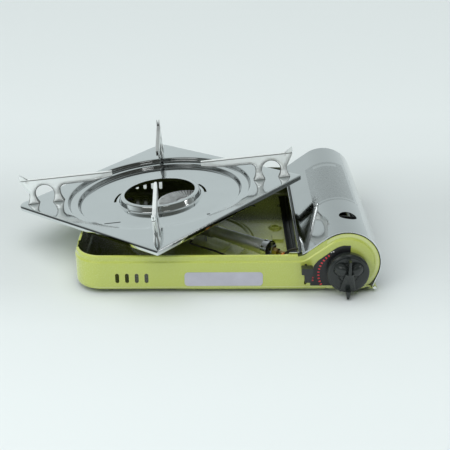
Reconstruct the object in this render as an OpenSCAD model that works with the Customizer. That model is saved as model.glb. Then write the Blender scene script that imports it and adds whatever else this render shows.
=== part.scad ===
// Tabletop stove for a butane cartridge: enamelled steel pan, hinged cartridge cover, lift-off
// drip tray with four pan supports, burner, regulator, control knob and cartridge lock lever.
// Millimetres. In the body frame X runs to the right, Y to the back and Z up; X = 0 is the middle
// of the body's width, Y = 0 the front face and Z = 0 the underside of the pan. at_home() then
// moves everything so that the origin is under the middle of the whole object's box.

/* [Body pan] */
// Overall width, left wall to the cover's right edge
body_w = 338; // [332:1:346]
// Depth, front face to back face
body_d = 278; // [272:1:290]
// Height of the pan's rim above its underside
rim_h = 42.1; // [41:0.1:45]
// Thickness of the pan's sheet steel
sheet = 1; // [0.8:0.1:1.2]
// Radius of the two left corners in plan
corner_r = 32; // [24:1:40]
// Radius between the walls and the floor
bottom_r = 6; // [4:0.5:6]
// Height of the stepped band below the rim and inside the hump outline
band_h = 6.8; // [5:0.1:8]
// How far the stepped band stands in
band_in = 1.5; // [1:0.1:2.5]
// Width of the flange that the rim turns in to
rim_flange = 3; // [2:0.5:5]
// Width of a vent slot
vent_w = 4.3; // [3:0.1:5]
// Height of a vent slot
vent_h = 11.6; // [8:0.1:14]
// Pitch of the vent slots
vent_pitch = 10.7; // [9:0.1:12]
// Number of vent slots in each end wall
vent_n = 4; // [3:1:4]
// Height of the rubber feet below the pan
foot_h = 3; // [2:0.5:6]
// Diameter of a rubber foot
foot_d = 16; // [12:1:18]

/* [Cartridge cover] */
// Outer radius of the cover's arch
cover_r = 38.1; // [37.6:0.1:39]
// Height of the arch's axis above the pan's underside
hump_z = 32; // [31:0.1:33]
// Thickness of the cover's sheet
cover_sheet = 0.5; // [0.4:0.1:0.6]
// Gap between the cover and the end panels
cover_gap = 0.4; // [0.3:0.1:0.6]
// Angle on the arch at which its left flank starts, from the right-hand horizontal
flank_angle = 126.5; // [125:0.5:128]
// Concave radius between the flank and the rim
flank_fillet = 14; // [10:1:16]
// Angle below the horizontal at which the arch runs out into its straight skirt
skirt_angle = 20; // [18:1:22]
// Height at which the skirt ends
skirt_end_z = 4.2; // [4:0.1:6]
// Depth of the flange that the end panels turn in to, under the cover
hump_flange = 10; // [6:1:12]
// Distance of the cover's front edge behind the front face
cover_front = 1; // [0.5:0.1:2]
// Distance of the cover's rear edge from the back face
cover_rear = 3.5; // [1:0.5:5]
// Diameter of the inspection hole
cover_hole_d = 20; // [14:1:24]
// How far the cover opens, in degrees
cover_open = 85; // [70:1:86]

/* [Cover hinge] */
// Distance of the hinge axis inside the cover's right edge
hinge_in = 5.5; // [5:0.1:6]
// Height of the hinge axis
hinge_z = 2.3; // [2.2:0.1:3]
// Diameter of the hinge pin
hinge_pin_d = 2; // [1.6:0.1:2.4]
// Outer diameter of the knuckles
knuckle_d = 4.8; // [4.6:0.1:5]

/* [Heat shield] */
// Distance from the arch's axis to the shield's cartridge-side face
shield_off = 48.9; // [48.4:0.1:49.5]
// Thickness of the shield's sheet
shield_sheet = 0.8; // [0.6:0.1:1]
// Height of the shield's top edge above the pan's underside
shield_h = 44.3; // [43:0.1:45]
// Width of the folded top edge
shield_top_w = 3.5; // [3:0.1:5]

/* [Drip tray] */
// Side of the square tray
tray_side = 247.1; // [240:0.1:250]
// Thickness of the tray's sheet
tray_sheet = 0.8; // [0.6:0.1:1]
// Depth of the folded lip
lip_h = 6; // [4:0.5:8]
// Radius of the dish's top edge
dish_r = 113; // [110:0.5:114]
// Width of the dish's wall and ledge, seen from above
ledge_in = 12; // [9:0.5:15]
// Depth of that ledge below the plate
ledge_drop = 4.5; // [3:0.5:6]
// Depth of the dish floor below the plate
dish_drop = 9.3; // [8:0.1:10]
// Radius of the collar where it meets the dish floor
collar_r = 51.8; // [50:0.1:54]
// Radius of the centre hole
hole_r = 43; // [40:0.5:44]
// Depth of the collar's top below the plate
collar_drop = 2; // [1:0.5:3]
// Tilt of the tray as it lies, right side up, in degrees
tray_tilt = 5.33; // [5:0.01:5.6]
// Turn of the tray beyond 45 degrees, in degrees
tray_turn = 2.46; // [0:0.01:4]
// Distance of the tray's centre left of the burner's
tray_left = 36.4; // [33:0.1:39]
// Y of the tray's centre in the body frame
tray_y = 149; // [146:0.5:152]
// Gap under the tray where it lies on the rim and on the burner
rest_gap = 0.3; // [0.2:0.05:0.4]
// How far the tray is shown lifted off
tray_lift = 60; // [30:1:100]

/* [Pan supports] */
// Height of the supports above the tray plate
support_h = 31.4; // [28:0.1:34]
// Thickness of the sheet that a support is folded from
support_sheet = 0.8; // [0.6:0.1:1]
// Width of a support across its folded top
support_top_w = 4.4; // [4:0.1:5]
// Width of a support across its feet
support_foot_w = 8.6; // [7:0.1:9]
// Width of a support at its inner tip
support_tip_w = 3.2; // [3:0.1:4]
// Radius of the outer foot's outer edge
outer_foot_r = 160.6; // [158:0.1:162]
// Radius of the inner foot's inner edge
inner_foot_r = 115.6; // [114.5:0.1:118]
// Width of a foot
foot_w = 14.6; // [13:0.1:16]
// Radius that the inner tip of the bar reaches
tip_r = 53.9; // [50:0.1:70]
// Depth of the bar at its root
bar_root = 10.6; // [9:0.1:12]
// Depth of the bar at its tip
bar_tip = 6.5; // [4:0.5:7]
// Height of the horn above the bar
horn_h = 6.6; // [4:0.1:8]

/* [Burner] */
// Distance of the gas jet's back end from the heat shield
shield_gap = 22.7; // [20:0.1:26]
// Y of the burner's centre
burner_y = 134; // [130:0.5:138]
// Radius of the burner cap
cap_r = 38.5; // [36:0.5:40]
// Height of the burner cap
cap_h = 7.4; // [6.5:0.1:8]
// Number of ribs on the burner cap
rib_n = 48; // [36:1:56]
// Radius of the burner's mixing chamber
chamber_r = 24; // [22:0.5:26]
// Height of the burner's underside
burner_z = 14; // [13:0.5:15]
// Wall of the burner casting
burner_wall = 2.5; // [2:0.5:3]

/* [Mixing tube] */
// Height of the mixing tube's axis
tube_z = 23; // [22.5:0.1:24]
// Diameter at the burner
tube_d1 = 13; // [12:0.5:14]
// Diameter at the mouth
tube_d2 = 18; // [17:0.5:19]
// Distance of the mouth from the burner's centre
tube_len = 118; // [114:0.5:120]
// Direction of the tube from the burner's centre, in degrees
tube_dir = -38.7; // [-40:0.1:-38]
// Wall of the tube
tube_wall = 0.8; // [0.6:0.1:1]
// Length of the air shutter ring
shutter_len = 8; // [6:0.5:10]
// Diameter of the gas pipe
pipe_d = 5; // [4:0.5:5]

/* [Regulator] */
// Radius of the regulator's crimped housing
reg_r = 23; // [21:0.5:24]
// Depth of the housing
reg_d = 10; // [8:0.5:11]
// Distance of the housing behind the front face
reg_y = 24; // [23:0.5:25]
// Height of the cartridge's axis
cart_z = 35; // [34.9:0.1:35.5]
// Radius of the cartridge that the bay takes
cart_r = 33.5; // [33:0.1:33.8]
// Diameter of the nozzle seat
seat_d = 18; // [15:0.5:20]
// Distance of the nozzle seat's end behind the front face
seat_y = 53; // [52.5:0.5:54]

/* [Control knob] */
// Distance of the knob's axis to the right of the arch's axis
knob_off = 1; // [0:0.1:2]
// Height of the knob's axis
knob_z = 25.5; // [25:0.1:27]
// Radius of the knob's disc
knob_r = 23; // [21:0.5:24]
// Gap between the knob and the front face
knob_gap = 2; // [1:0.5:3]
// Thickness of the disc
knob_disc = 9; // [6:0.5:10]
// Distance of the grip's face from the front face
grip_y = 24; // [20:0.5:25]
// Reach of the grip's tail from the axis
tail_r = 27; // [25:0.5:28]
// Diameter of the valve shaft
shaft_d = 8; // [6:0.5:9]
// Turn of the knob from off to lighting, in degrees
knob_turn = 130; // [90:5:150]

/* [Piezo igniter] */
// Stroke of the plunger
piezo_stroke = 5; // [3:0.5:6]
// Radius of the striker cam at rest
cam_r = 9; // [8:0.5:10]
// Thickness of the cam
cam_t = 4; // [3:0.5:5]
// Gap between the cam and the plunger
cam_gap = 0.4; // [0.3:0.1:0.5]
// Diameter of the plunger
plunger_d = 5; // [4:0.5:6]

/* [Lock lever] */
// X of the lever's middle plane, measured left from the arch's axis
lever_off = 44.5; // [44.2:0.1:44.8]
// Thickness of the lever plate
lever_t = 1.6; // [1.2:0.1:1.8]
// Distance of the lever's pivot behind the front face
pivot_y = 28; // [27:0.5:29]
// Height of the lever's pivot
pivot_z = 8; // [7.5:0.5:8.5]
// Height of the drive pin above the pivot
drive_r = 18; // [17:0.5:18.5]
// Swing of the lever, in degrees
lever_swing = 18; // [12:1:20]
// Thickness of the carriage's sheet
carriage_t = 1.5; // [1.2:0.1:1.8]

/* [Hidden] */
$fn = 72;

// Colours
ENAMEL = "#acbc66";
STEEL = "#c9cdcf";
ZINC = "#9fa5a6";
CAST = "#84878a";
BRASS = "#b8974a";
BLACK = "#1d1f20";
RUBBER = "#2a2a2a";
CERAMIC = "#e9e4d8";

over = 0.5;            // how far a cutting tool runs past a face
run_clear = 0.05;      // radial clearance of a running pin
fit_clear = 0.02;      // radial clearance of a fixed pin
rivet_head = 1.2;      // height of small heads

// Places worked out from the sizes above
left_x = -body_w / 2;
hump_x = body_w / 2 - cover_r;
panel_r = cover_r - cover_sheet - cover_gap;
shield_x = hump_x - shield_off;

// The burner stands where the jet at the mouth of its mixing tube clears the heat shield
jet_back = tube_len + 15;
burner_x = shield_x - shield_gap - jet_back * cos(tube_dir);
tray_x = burner_x - tray_left;
hinge_x = body_w / 2 - hinge_in;
knob_x = hump_x + knob_off;
lever_x = hump_x - lever_off;
flank_n = [cos(flank_angle), sin(flank_angle)];
skirt_n = [cos(skirt_angle), -sin(skirt_angle)];
fillet_z = rim_h + flank_fillet;
fillet_s = (fillet_z - hump_z - (panel_r + flank_fillet) * flank_n[1]) / flank_n[0];
fillet_x = hump_x + (panel_r + flank_fillet) * flank_n[0] - fillet_s * flank_n[1];

// X of the outline's skirt line, inset by off, at height z
function skirt_x(off, z) = hump_x + (panel_r - off) / skirt_n[0]
    - (hump_z - z) * tan(skirt_angle);
floor_right = skirt_x(0, 0);

function arc_pts(cx, cy, r, a0, a1, n) =
    [for (i = [0:n]) let(a = a0 + (a1 - a0) * i / n) [cx + r * cos(a), cy + r * sin(a)]];

// Outline of an end panel above z0, inset by off (outset where off is negative)
function panel_pts(off, x0, z0) = concat(
    [[x0, z0], [x0, rim_h - off]],
    x0 < fillet_x ? arc_pts(fillet_x, fillet_z, flank_fillet + off, 270, flank_angle + 180, 10)
        : [],
    arc_pts(hump_x, hump_z, panel_r - off, flank_angle, -skirt_angle, 48),
    [[skirt_x(off, z0), z0]]);

// The same outline of the hump alone, from the left edge x0 of the cover's foot
function foot_angle(off, x0) = 270 + asin((x0 - fillet_x) / (flank_fillet + off));
function hump_pts(off, x0, z0) = concat(
    [[x0, z0]],
    arc_pts(fillet_x, fillet_z, flank_fillet + off, foot_angle(off, x0), flank_angle + 180, 8),
    arc_pts(hump_x, hump_z, panel_r - off, flank_angle, -skirt_angle, 48),
    [[skirt_x(off, z0), z0]]);

// Tray: its corners, front and right ones tight, left and back ones round
half_side = tray_side / 2;
corner_front = 1.5;
corner_right = 3;
corner_back = 8;
corner_left = 10;
function tip_reach(r) = (half_side - r) * sqrt(2) * cos(tray_turn) + r;
tray_under = (dish_drop + tray_sheet) / cos(tray_tilt);
tray_z = rim_h + rest_gap + tray_under + tan(tray_tilt) * (tray_x - left_x - band_in);

// Lowest point of the dish floor above the burner cap: where the collar's foot crosses its edge
head_off = [burner_x - tray_x, burner_y - tray_y];
head_dist = norm(head_off);
head_dir = head_off / head_dist;
head_a = (head_dist * head_dist + collar_r * collar_r - cap_r * cap_r) / (2 * head_dist);
head_b = sqrt(collar_r * collar_r - head_a * head_a);
head_x = head_a * head_dir[0] - head_b * abs(head_dir[1]);
head_top = tray_z + tan(tray_tilt) * head_x - tray_under - rest_gap;
cap_z = head_top - cap_h;

// The whole object's box in the body frame
box_x0 = tray_x - cos(tray_tilt) * tip_reach(corner_left);
box_x1 = hump_x + cover_r;
box_y0 = tray_y - tip_reach(corner_front);
box_y1 = tray_y + tip_reach(corner_back);

module at_home() {
    translate([-(box_x0 + box_x1) / 2, -(box_y0 + box_y1) / 2, foot_h]) children();
}

// A plate from y0 to y1 whose outline is drawn in X and Z
module slab_y(y0, y1) {
    translate([0, y1, 0]) rotate([90, 0, 0]) linear_extrude(y1 - y0) children();
}

// A plate from x0 to x1 whose outline is drawn in Y and Z
module slab_x(x0, x1) {
    translate([x0, 0, 0]) rotate([90, 0, 90]) linear_extrude(x1 - x0) children();
}

// A rod along Y from y0 to y1
module rod_y(x, z, y0, y1, d) {
    translate([x, y1, z]) rotate([90, 0, 0]) cylinder(h = y1 - y0, d = d);
}

// A rod along X from x0 to x1
module rod_x(y, z, x0, x1, d) {
    translate([x0, y, z]) rotate([0, 90, 0]) cylinder(h = x1 - x0, d = d);
}

// A slot with round ends, w wide and h high, standing on its middle
module slot_2d(w, h) {
    square([w, h - w], center = true);
    for (s = [-1, 1]) translate([0, s * (h - w) / 2]) circle(d = w, $fn = 24);
}

module round_rect(w, h, r) {
    polygon(concat(
        arc_pts(w / 2 - r, h / 2 - r, r, 0, 90, 6), arc_pts(r - w / 2, h / 2 - r, r, 90, 180, 6),
        arc_pts(r - w / 2, r - h / 2, r, 180, 270, 6), arc_pts(w / 2 - r, r - h / 2, r, 270, 360, 6)));
}

// ---- body pan ----------------------------------------------------------------------------

vent_x = left_x + corner_r + 17;
vent_z = 16;
knob_hole_d = shaft_d + 4;
slot_w = lever_t + 0.9;
slot_z0 = 7.5;
slot_z1 = 33;
feet_y = 16;
feet_x = [left_x + 40, hump_x + 15];
foot_peg_d = 6;
bead_r = 76;
bead_w = 6;
bead_h = 2.2;
hole_places = [[shield_x - 8.4, 238.5], [shield_x - 45, 240.3]];
floor_hole_d = 8.6;
dimple = [shield_x - 19.5, burner_y + 32.5];
pad = [shield_x - 18.5, burner_y + 2];
notch_y = [27, 44];

function wall_pts() = concat(
    arc_pts(bottom_r, bottom_r, bottom_r, 270, 180, 8),
    [[0, rim_h - band_h], [band_in, rim_h - band_h], [band_in, rim_h],
     [band_in + rim_flange, rim_h], [band_in + rim_flange, rim_h - sheet],
     [band_in + sheet, rim_h - sheet], [band_in + sheet, rim_h - band_h - sheet],
     [sheet, rim_h - band_h - sheet]],
    arc_pts(bottom_r, bottom_r, bottom_r - sheet, 180, 270, 8));

function low_wall_pts() = concat(
    arc_pts(bottom_r, bottom_r, bottom_r, 270, 180, 8), [[0, bottom_r + over], [sheet, bottom_r + over]],
    arc_pts(bottom_r, bottom_r, bottom_r - sheet, 180, 270, 8));

module end_wall() {
    x0 = left_x + corner_r;
    slab_x(x0, floor_right) polygon(low_wall_pts());
    slab_y(0, sheet) polygon(panel_pts(band_h, x0, bottom_r));
    slab_y(0, band_in + sheet) difference() {
        polygon(panel_pts(band_h, x0, bottom_r));
        polygon(panel_pts(band_h + sheet, x0 - over, bottom_r - over));
    }
    slab_y(band_in, band_in + sheet) difference() {
        polygon(panel_pts(0, x0, bottom_r));
        polygon(panel_pts(band_h + sheet, x0 - over, bottom_r - over));
    }
    slab_y(band_in, band_in + hump_flange) difference() {
        polygon(hump_pts(0, shield_x + over, bottom_r));
        polygon(panel_pts(sheet, x0, bottom_r - over));
    }
    translate([x0, band_in, rim_h - sheet]) cube([fillet_x - x0, rim_flange, sheet]);
}

module corner_wall() {
    rotate_extrude(angle = 90) polygon([for (p = wall_pts()) [corner_r - p[0], p[1]]]);
}

module floor_2d() {
    r = corner_r - bottom_r;
    polygon(concat(
        arc_pts(left_x + corner_r, corner_r, r, 180, 270, 12),
        [[floor_right, bottom_r], [floor_right, body_d - bottom_r]],
        arc_pts(left_x + corner_r, body_d - corner_r, r, 90, 180, 12)));
}

module pan_shell() {
    end_wall();
    translate([0, body_d, 0]) mirror([0, 1, 0]) end_wall();
    translate([left_x + corner_r, corner_r, 0]) rotate([0, 0, 180]) corner_wall();
    translate([left_x + corner_r, body_d - corner_r, 0]) rotate([0, 0, 90]) corner_wall();
    slab_y(corner_r, body_d - corner_r) polygon([for (p = wall_pts()) [left_x + p[0], p[1]]]);
    linear_extrude(sheet) floor_2d();
    translate([floor_right - sheet, bottom_r, 0]) cube([sheet, body_d - 2 * bottom_r, 7]);
    translate([burner_x, burner_y, sheet]) rotate_extrude()
        translate([bead_r, 0]) polygon([[-bead_w / 2, -sheet / 2], [-bead_w / 4, bead_h],
            [bead_w / 4, bead_h], [bead_w / 2, -sheet / 2]]);
    translate([dimple[0], dimple[1], sheet / 2]) cylinder(h = 3, d1 = 18, d2 = 12);
    translate([pad[0] - 7, pad[1] - 9, sheet / 2]) cube([14, 18, 3]);
}

module body_pan() {
    at_home() color(ENAMEL) difference() {
        pan_shell();
        for (y = [0, body_d], i = [0:vent_n - 1])
            slab_y(y - band_in - sheet, y + band_in + sheet)
                translate([vent_x + i * vent_pitch, vent_z]) slot_2d(vent_w, vent_h);
        rod_y(knob_x, knob_z, -over, sheet + over, knob_hole_d);
        slab_y(-over, sheet + over) translate([lever_x, (slot_z0 + slot_z1) / 2])
            slot_2d(slot_w, slot_z1 - slot_z0);
        for (p = hole_places) translate([p[0], p[1], -over]) cylinder(h = 5, d = floor_hole_d);
        for (x = feet_x, y = [feet_y, body_d - feet_y])
            translate([x, y, -over]) cylinder(h = 2, d = foot_peg_d + 2 * fit_clear);
        translate([dimple[0], dimple[1], -over]) cylinder(h = 5, d = 8);
        translate([left_x - over, notch_y[0], rim_h - 3.2])
            cube([band_in + rim_flange + 2 * over, notch_y[1] - notch_y[0], 5]);
        for (y = [38, body_d - 38]) rod_x(y, 13, left_x - over, left_x + 2, 3 + 2 * fit_clear);
    }
}

module rubber_feet() {
    at_home() color(RUBBER) for (x = feet_x, y = [feet_y, body_d - feet_y]) translate([x, y, 0]) {
        translate([0, 0, -foot_h]) cylinder(h = foot_h, d1 = foot_d - 2, d2 = foot_d);
        cylinder(h = sheet, d = foot_peg_d);
        translate([0, 0, sheet]) cylinder(h = rivet_head, d = foot_peg_d + 2);
    }
}

module wall_rivets() {
    at_home() color(ZINC) for (y = [38, body_d - 38]) {
        rod_x(y, 13, left_x - rivet_head, left_x, 5);
        rod_x(y, 13, left_x, left_x + sheet, 3);
        rod_x(y, 13, left_x + sheet, left_x + sheet + rivet_head, 5);
    }
}

// ---- heat shield, plates -----------------------------------------------------------------

shield_y0 = max(band_in + sheet + rim_flange, bottom_r);
shield_flange = 9;
pipe_cross = [42, 14];
lead_cross = [30, 36.5];
grip_flange = 11;

module heat_shield() {
    t = shield_sheet;
    y1 = body_d - shield_y0;
    at_home() color(STEEL) difference() {
        union() {
            slab_y(shield_y0, y1) polygon([
                [shield_x, sheet], [shield_x, shield_h], [shield_x - shield_top_w, shield_h],
                [shield_x - shield_top_w, shield_h - 6], [shield_x - shield_top_w + t, shield_h - 6],
                [shield_x - shield_top_w + t, shield_h - t], [shield_x - t, shield_h - t],
                [shield_x - t, sheet + t], [shield_x - shield_flange, sheet + t],
                [shield_x - shield_flange, sheet]]);
            translate([shield_x - shield_top_w - grip_flange, shield_y0, sheet + t])
                cube([grip_flange + shield_top_w, t, shield_h - sheet - t]);
        }
        rod_x(pipe_cross[0], pipe_cross[1], shield_x - 2, shield_x + 2, pipe_d + 2);
        rod_x(lead_cross[0], lead_cross[1], shield_x - shield_top_w - 1, shield_x + 2, 4.5);
        for (dx = [3.5, 7]) slab_y(shield_y0 - over, shield_y0 + t + over)
            translate([shield_x - shield_top_w - dx - 1, shield_h - 8]) slot_2d(1.6, 8);
        for (i = [0:3]) slab_x(shield_x - 2, shield_x + 2)
            translate([95 + 40 * i, 22]) slot_2d(5, 22);
    }
}

nameplate_w = 85.8;
nameplate_h = 16.5;
nameplate_x = -3.3;
nameplate_t = 0.4;

module nameplate() {
    at_home() color("#b4b4bb") slab_y(-nameplate_t, 0)
        translate([nameplate_x, bottom_r + 0.6 + nameplate_h / 2]) round_rect(nameplate_w, nameplate_h, 4);
}

dial_t = 0.3;

module dial_plate() {
    x = hump_x;
    at_home() color(BLACK) slab_y(-dial_t, 0) difference() {
        polygon(concat(
            [[x + 3.4, 54.6], [x - 2, 54.6]],
            arc_pts(hump_x, hump_z - 0.3, panel_r - 13.8, 99, flank_angle, 8),
            [[x - 31.7, 36.6], [x - 35.8, 30.6]],
            [[x - 38.6, 18], [x - 39.2, bottom_r + 0.4], [x - 16.1, bottom_r + 0.4], [x + 3.4, 16]]));
        translate([knob_x, knob_z]) circle(d = knob_hole_d + 1);
    }
}

// ---- regulator and gas way ---------------------------------------------------------------

valve_d = 30;
valve_y = 10;
web_t = 1.5;
web_y = reg_y - web_t;
screw_angles = [0, 90, 180];
screw_ring = reg_r - 4;
boss_y = reg_y + 5;
pipe_z = pipe_cross[1];
pipe_start = [hump_x - 16.9, boss_y, pipe_z];
tube_axis = [cos(tube_dir), sin(tube_dir), 0];
jet_end = [burner_x, burner_y, tube_z] + jet_back * tube_axis;

module regulator_body() {
    at_home() color(CAST) difference() {
        union() {
            rod_y(knob_x, knob_z, valve_y, reg_y, valve_d);
            rod_y(hump_x, cart_z, reg_y, reg_y + reg_d, 2 * reg_r);
            rod_x(boss_y, pipe_z, pipe_start[0], hump_x, 9);
        }
        rod_y(knob_x, knob_z, valve_y - over, valve_y + 6, shaft_d + 2 * run_clear);
        rod_x(boss_y, pipe_z, pipe_start[0] - over, pipe_start[0] + 6, pipe_d + 0.2);
        for (a = screw_angles)
            rod_y(hump_x + screw_ring * cos(a), cart_z + screw_ring * sin(a), reg_y - over, reg_y + 6, 3);
    }
}

module regulator_cover() {
    y0 = reg_y + reg_d;
    at_home() color(STEEL) difference() {
        union() {
            rod_y(hump_x, cart_z, y0, y0 + 3, 2 * reg_r);
            translate([hump_x, y0 + 3, cart_z]) rotate([-90, 0, 0])
                cylinder(h = 3, r1 = reg_r - 2, r2 = reg_r - 6);
        }
        rod_y(hump_x, cart_z, y0 - over, y0 + 8, seat_d + 0.2);
    }
}

module nozzle_seat() {
    at_home() color(BRASS) difference() {
        union() {
            rod_y(hump_x, cart_z, reg_y + reg_d, seat_y - 4, seat_d);
            rod_y(hump_x, cart_z, seat_y - 4, seat_y, seat_d - 5);
        }
        rod_y(hump_x, cart_z, seat_y - 8, seat_y + over, 5);
        rod_y(hump_x, cart_z, seat_y - 2, seat_y + over, 9.2);
    }
}

module inlet_seal() {
    at_home() color(BLACK) translate([hump_x, seat_y - 2, cart_z]) rotate([-90, 0, 0]) difference() {
        cylinder(h = 2.4, d = 9);
        translate([0, 0, -over]) cylinder(h = 4, d = 5);
    }
}

module regulator_bracket() {
    at_home() color(ZINC) difference() {
        union() {
            slab_y(web_y, reg_y) translate([hump_x, 0]) polygon([[-19, sheet], [19, sheet], [23, 20],
                [21, 50], [14, 56], [-14, 56], [-21, 50], [-23, 20]]);
            translate([hump_x - 19, web_y, sheet]) cube([38, 14, web_t]);
        }
        rod_y(knob_x, knob_z, web_y - over, reg_y + over, valve_d + 0.2);
        for (a = screw_angles) rod_y(hump_x + screw_ring * cos(a), cart_z + screw_ring * sin(a),
            web_y - over, reg_y + over, 3.4);
        for (s = [-1, 1]) translate([hump_x + 10 * s, web_y + 10, 0]) cylinder(h = 5, d = 3.2);
    }
}

// Screws into the regulator from the front, clear of the valve block
module regulator_screws() {
    at_home() color(ZINC) for (a = screw_angles) {
        x = hump_x + screw_ring * cos(a);
        z = cart_z + screw_ring * sin(a);
        rod_y(x, z, web_y - 2, web_y, 5);
        rod_y(x, z, web_y, reg_y + 5.8, 3 - 2 * fit_clear);
    }
}

// Smooth line through points: Catmull-Rom with per steps in each stretch
function spline_at(p0, p1, p2, p3, t) = 0.5 * (2 * p1 + (p2 - p0) * t
    + (2 * p0 - 5 * p1 + 4 * p2 - p3) * t * t + (3 * p1 - p0 - 3 * p2 + p3) * t * t * t);
function spline(pts, per) = let(n = len(pts)) concat(
    [for (i = [0:n - 2], j = [0:per - 1])
        spline_at(pts[max(i - 1, 0)], pts[i], pts[i + 1], pts[min(i + 2, n - 1)], j / per)],
    [pts[n - 1]]);
function unit(v) = v / norm(v);

// Tube of diameter d swept along a line, in flat facets; aside is never along the line
module swept(line, d, sides, aside) {
    n = len(line);
    rings = [for (i = [0:n - 1]) let(
        t = unit(line[min(i + 1, n - 1)] - line[max(i - 1, 0)]),
        u = unit(cross(aside, t)), v = cross(t, u))
        for (k = [0:sides - 1]) let(a = 360 * k / sides)
            line[i] + d / 2 * (cos(a) * u + sin(a) * v)];
    faces = concat(
        [[for (k = [sides - 1:-1:0]) k]],
        [[for (k = [0:sides - 1]) (n - 1) * sides + k]],
        [for (i = [0:n - 2], k = [0:sides - 1]) let(a = i * sides + k, b = i * sides + (k + 1) % sides)
            [a, b, b + sides, a + sides]]);
    polyhedron(points = rings, faces = faces);
}

end_gap = 0.4;         // gap between a pipe's or lead's drawn end and its seat
pipe_route = [pipe_start + [5, 0, 0], pipe_start, pipe_start - [8, 0, 0], [lever_x + 8, pipe_cross[0], pipe_z],
    [shield_x, pipe_cross[0], pipe_z], jet_end + 9 * tube_axis, jet_end + end_gap * tube_axis];

module gas_pipe() {
    at_home() color(BRASS) swept(spline(pipe_route, 5), pipe_d, 12, [0, 0.1, 1]);
}

// Turns a piece drawn along +Z so that it lies along the mixing tube, t from the burner's centre
module on_tube(t) {
    translate([burner_x, burner_y, tube_z] + t * tube_axis) rotate([0, 90, tube_dir]) children();
}

jet_plate_t = tube_len + 8;
jet_plate = 1.2;
jet_bore = 1;

module gas_jet() {
    at_home() color(BRASS) difference() {
        union() {
            on_tube(tube_len + 3) cylinder(h = 5.2, d1 = 2.6, d2 = 3.6);
            on_tube(tube_len + 8) cylinder(h = jet_plate, d = 4);
            on_tube(jet_plate_t + jet_plate) cylinder(h = jet_back - jet_plate_t - jet_plate, d = 9, $fn = 6);
        }
        on_tube(tube_len + 2) cylinder(h = jet_back - tube_len, d = jet_bore);
    }
}

module jet_bracket() {
    w = 9;
    at_home() color(ZINC) difference() {
        union() {
            on_tube(jet_plate_t) translate([-6, -w / 2, 0]) cube([tube_z - sheet + 6, w, jet_plate]);
            on_tube(jet_plate_t) translate([tube_z - sheet - jet_plate, -w / 2, 0]) cube([jet_plate, w, 12]);
        }
        on_tube(jet_plate_t - over) cylinder(h = 3, d = 4 + 2 * fit_clear);
    }
}

module air_shutter() {
    at_home() color(STEEL) difference() {
        union() {
            on_tube(tube_len - shutter_len / 2) cylinder(h = shutter_len, d = tube_d2 + 2);
            on_tube(tube_len + shutter_len / 2 - 1.2) cylinder(h = 1.2, d = tube_d2 + 3.4);
        }
        on_tube(tube_len - shutter_len / 2 - over) cylinder(h = shutter_len + 1, d = tube_d2 + 0.2);
    }
}

tube_start = chamber_r + 4;

module mixing_tube() {
    at_home() color(ZINC) difference() {
        on_tube(tube_start) cylinder(h = tube_len - tube_start, d1 = tube_d1, d2 = tube_d2);
        on_tube(tube_start - 0.01) cylinder(h = tube_len - tube_start + 0.02,
            d1 = tube_d1 - 2 * tube_wall, d2 = tube_d2 - 2 * tube_wall);
    }
}

// ---- burner ------------------------------------------------------------------------------

rim_r = cap_r - 0.5;
socket_end = chamber_r + 14;

module burner_base() {
    w = burner_wall;
    z0 = burner_z;
    at_home() color(CAST) difference() {
        union() {
            translate([burner_x, burner_y, 0]) rotate_extrude() polygon([
                [0, z0], [chamber_r, z0], [chamber_r, z0 + 17], [rim_r, cap_z - 3.5], [rim_r, cap_z],
                [rim_r - 4, cap_z], [rim_r - 4, cap_z - 2.5], [chamber_r - w, z0 + 18.5],
                [chamber_r - w, z0 + w], [0, z0 + w]]);
            difference() {
                on_tube(chamber_r - 4) cylinder(h = socket_end - chamber_r + 4, d = tube_d1 + 5);
                translate([burner_x, burner_y, z0]) cylinder(h = 40, r = chamber_r - w);
            }
        }
        on_tube(tube_start - 0.2) cylinder(h = 20, d = tube_d1 + 1.2);
        on_tube(chamber_r - 8) cylinder(h = 20, d = tube_d1 - 2 * tube_wall);
        for (s = [-1, 1]) translate([burner_x + 9 * s, burner_y, z0 - over])
            cylinder(h = burner_wall + 1, d = 4 + 2 * fit_clear);
    }
}

port_n = 24;

module burner_cap() {
    floor_z = head_top - 0.9;
    at_home() color(CAST) translate([burner_x, burner_y, 0]) difference() {
        union() {
            rotate_extrude() polygon([[0, floor_z - 2.4], [cap_r - 4, floor_z - 2.4], [cap_r - 4, cap_z],
                [cap_r, cap_z], [cap_r, head_top - 1.8], [cap_r - 1.2, floor_z], [13, floor_z],
                [13, head_top], [9, head_top], [8, floor_z], [0, floor_z]]);
            for (i = [0:rib_n - 1]) rotate([0, 0, 360 / rib_n * i])
                translate([16, -0.5, floor_z - 0.5]) cube([cap_r - 18.5, 1, 0.5 + 0.9]);
        }
        for (i = [0:port_n - 1]) rotate([0, 0, 360 / port_n * (i + 0.5)])
            translate([cap_r - 6, 0, cap_z + 2.4]) rotate([0, 90, 0]) cylinder(h = 8, d = 1.8, $fn = 16);
    }
}

bracket_w = 22;
bracket_half = 20;

module burner_bracket() {
    t = 1.2;
    at_home() color(ZINC) translate([burner_x, burner_y, 0]) difference() {
        slab_y(-bracket_w / 2, bracket_w / 2) polygon([
            [-bracket_half - 12, sheet], [-bracket_half, sheet], [-bracket_half, burner_z - t],
            [bracket_half, burner_z - t], [bracket_half, sheet], [bracket_half + 12, sheet],
            [bracket_half + 12, sheet + t], [bracket_half + t, sheet + t], [bracket_half + t, burner_z],
            [-bracket_half - t, burner_z], [-bracket_half - t, sheet + t], [-bracket_half - 12, sheet + t]]);
        for (s = [-1, 1]) translate([9 * s, 0, burner_z - 3]) cylinder(h = 6, d = 4 + 2 * fit_clear);
    }
}

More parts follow.
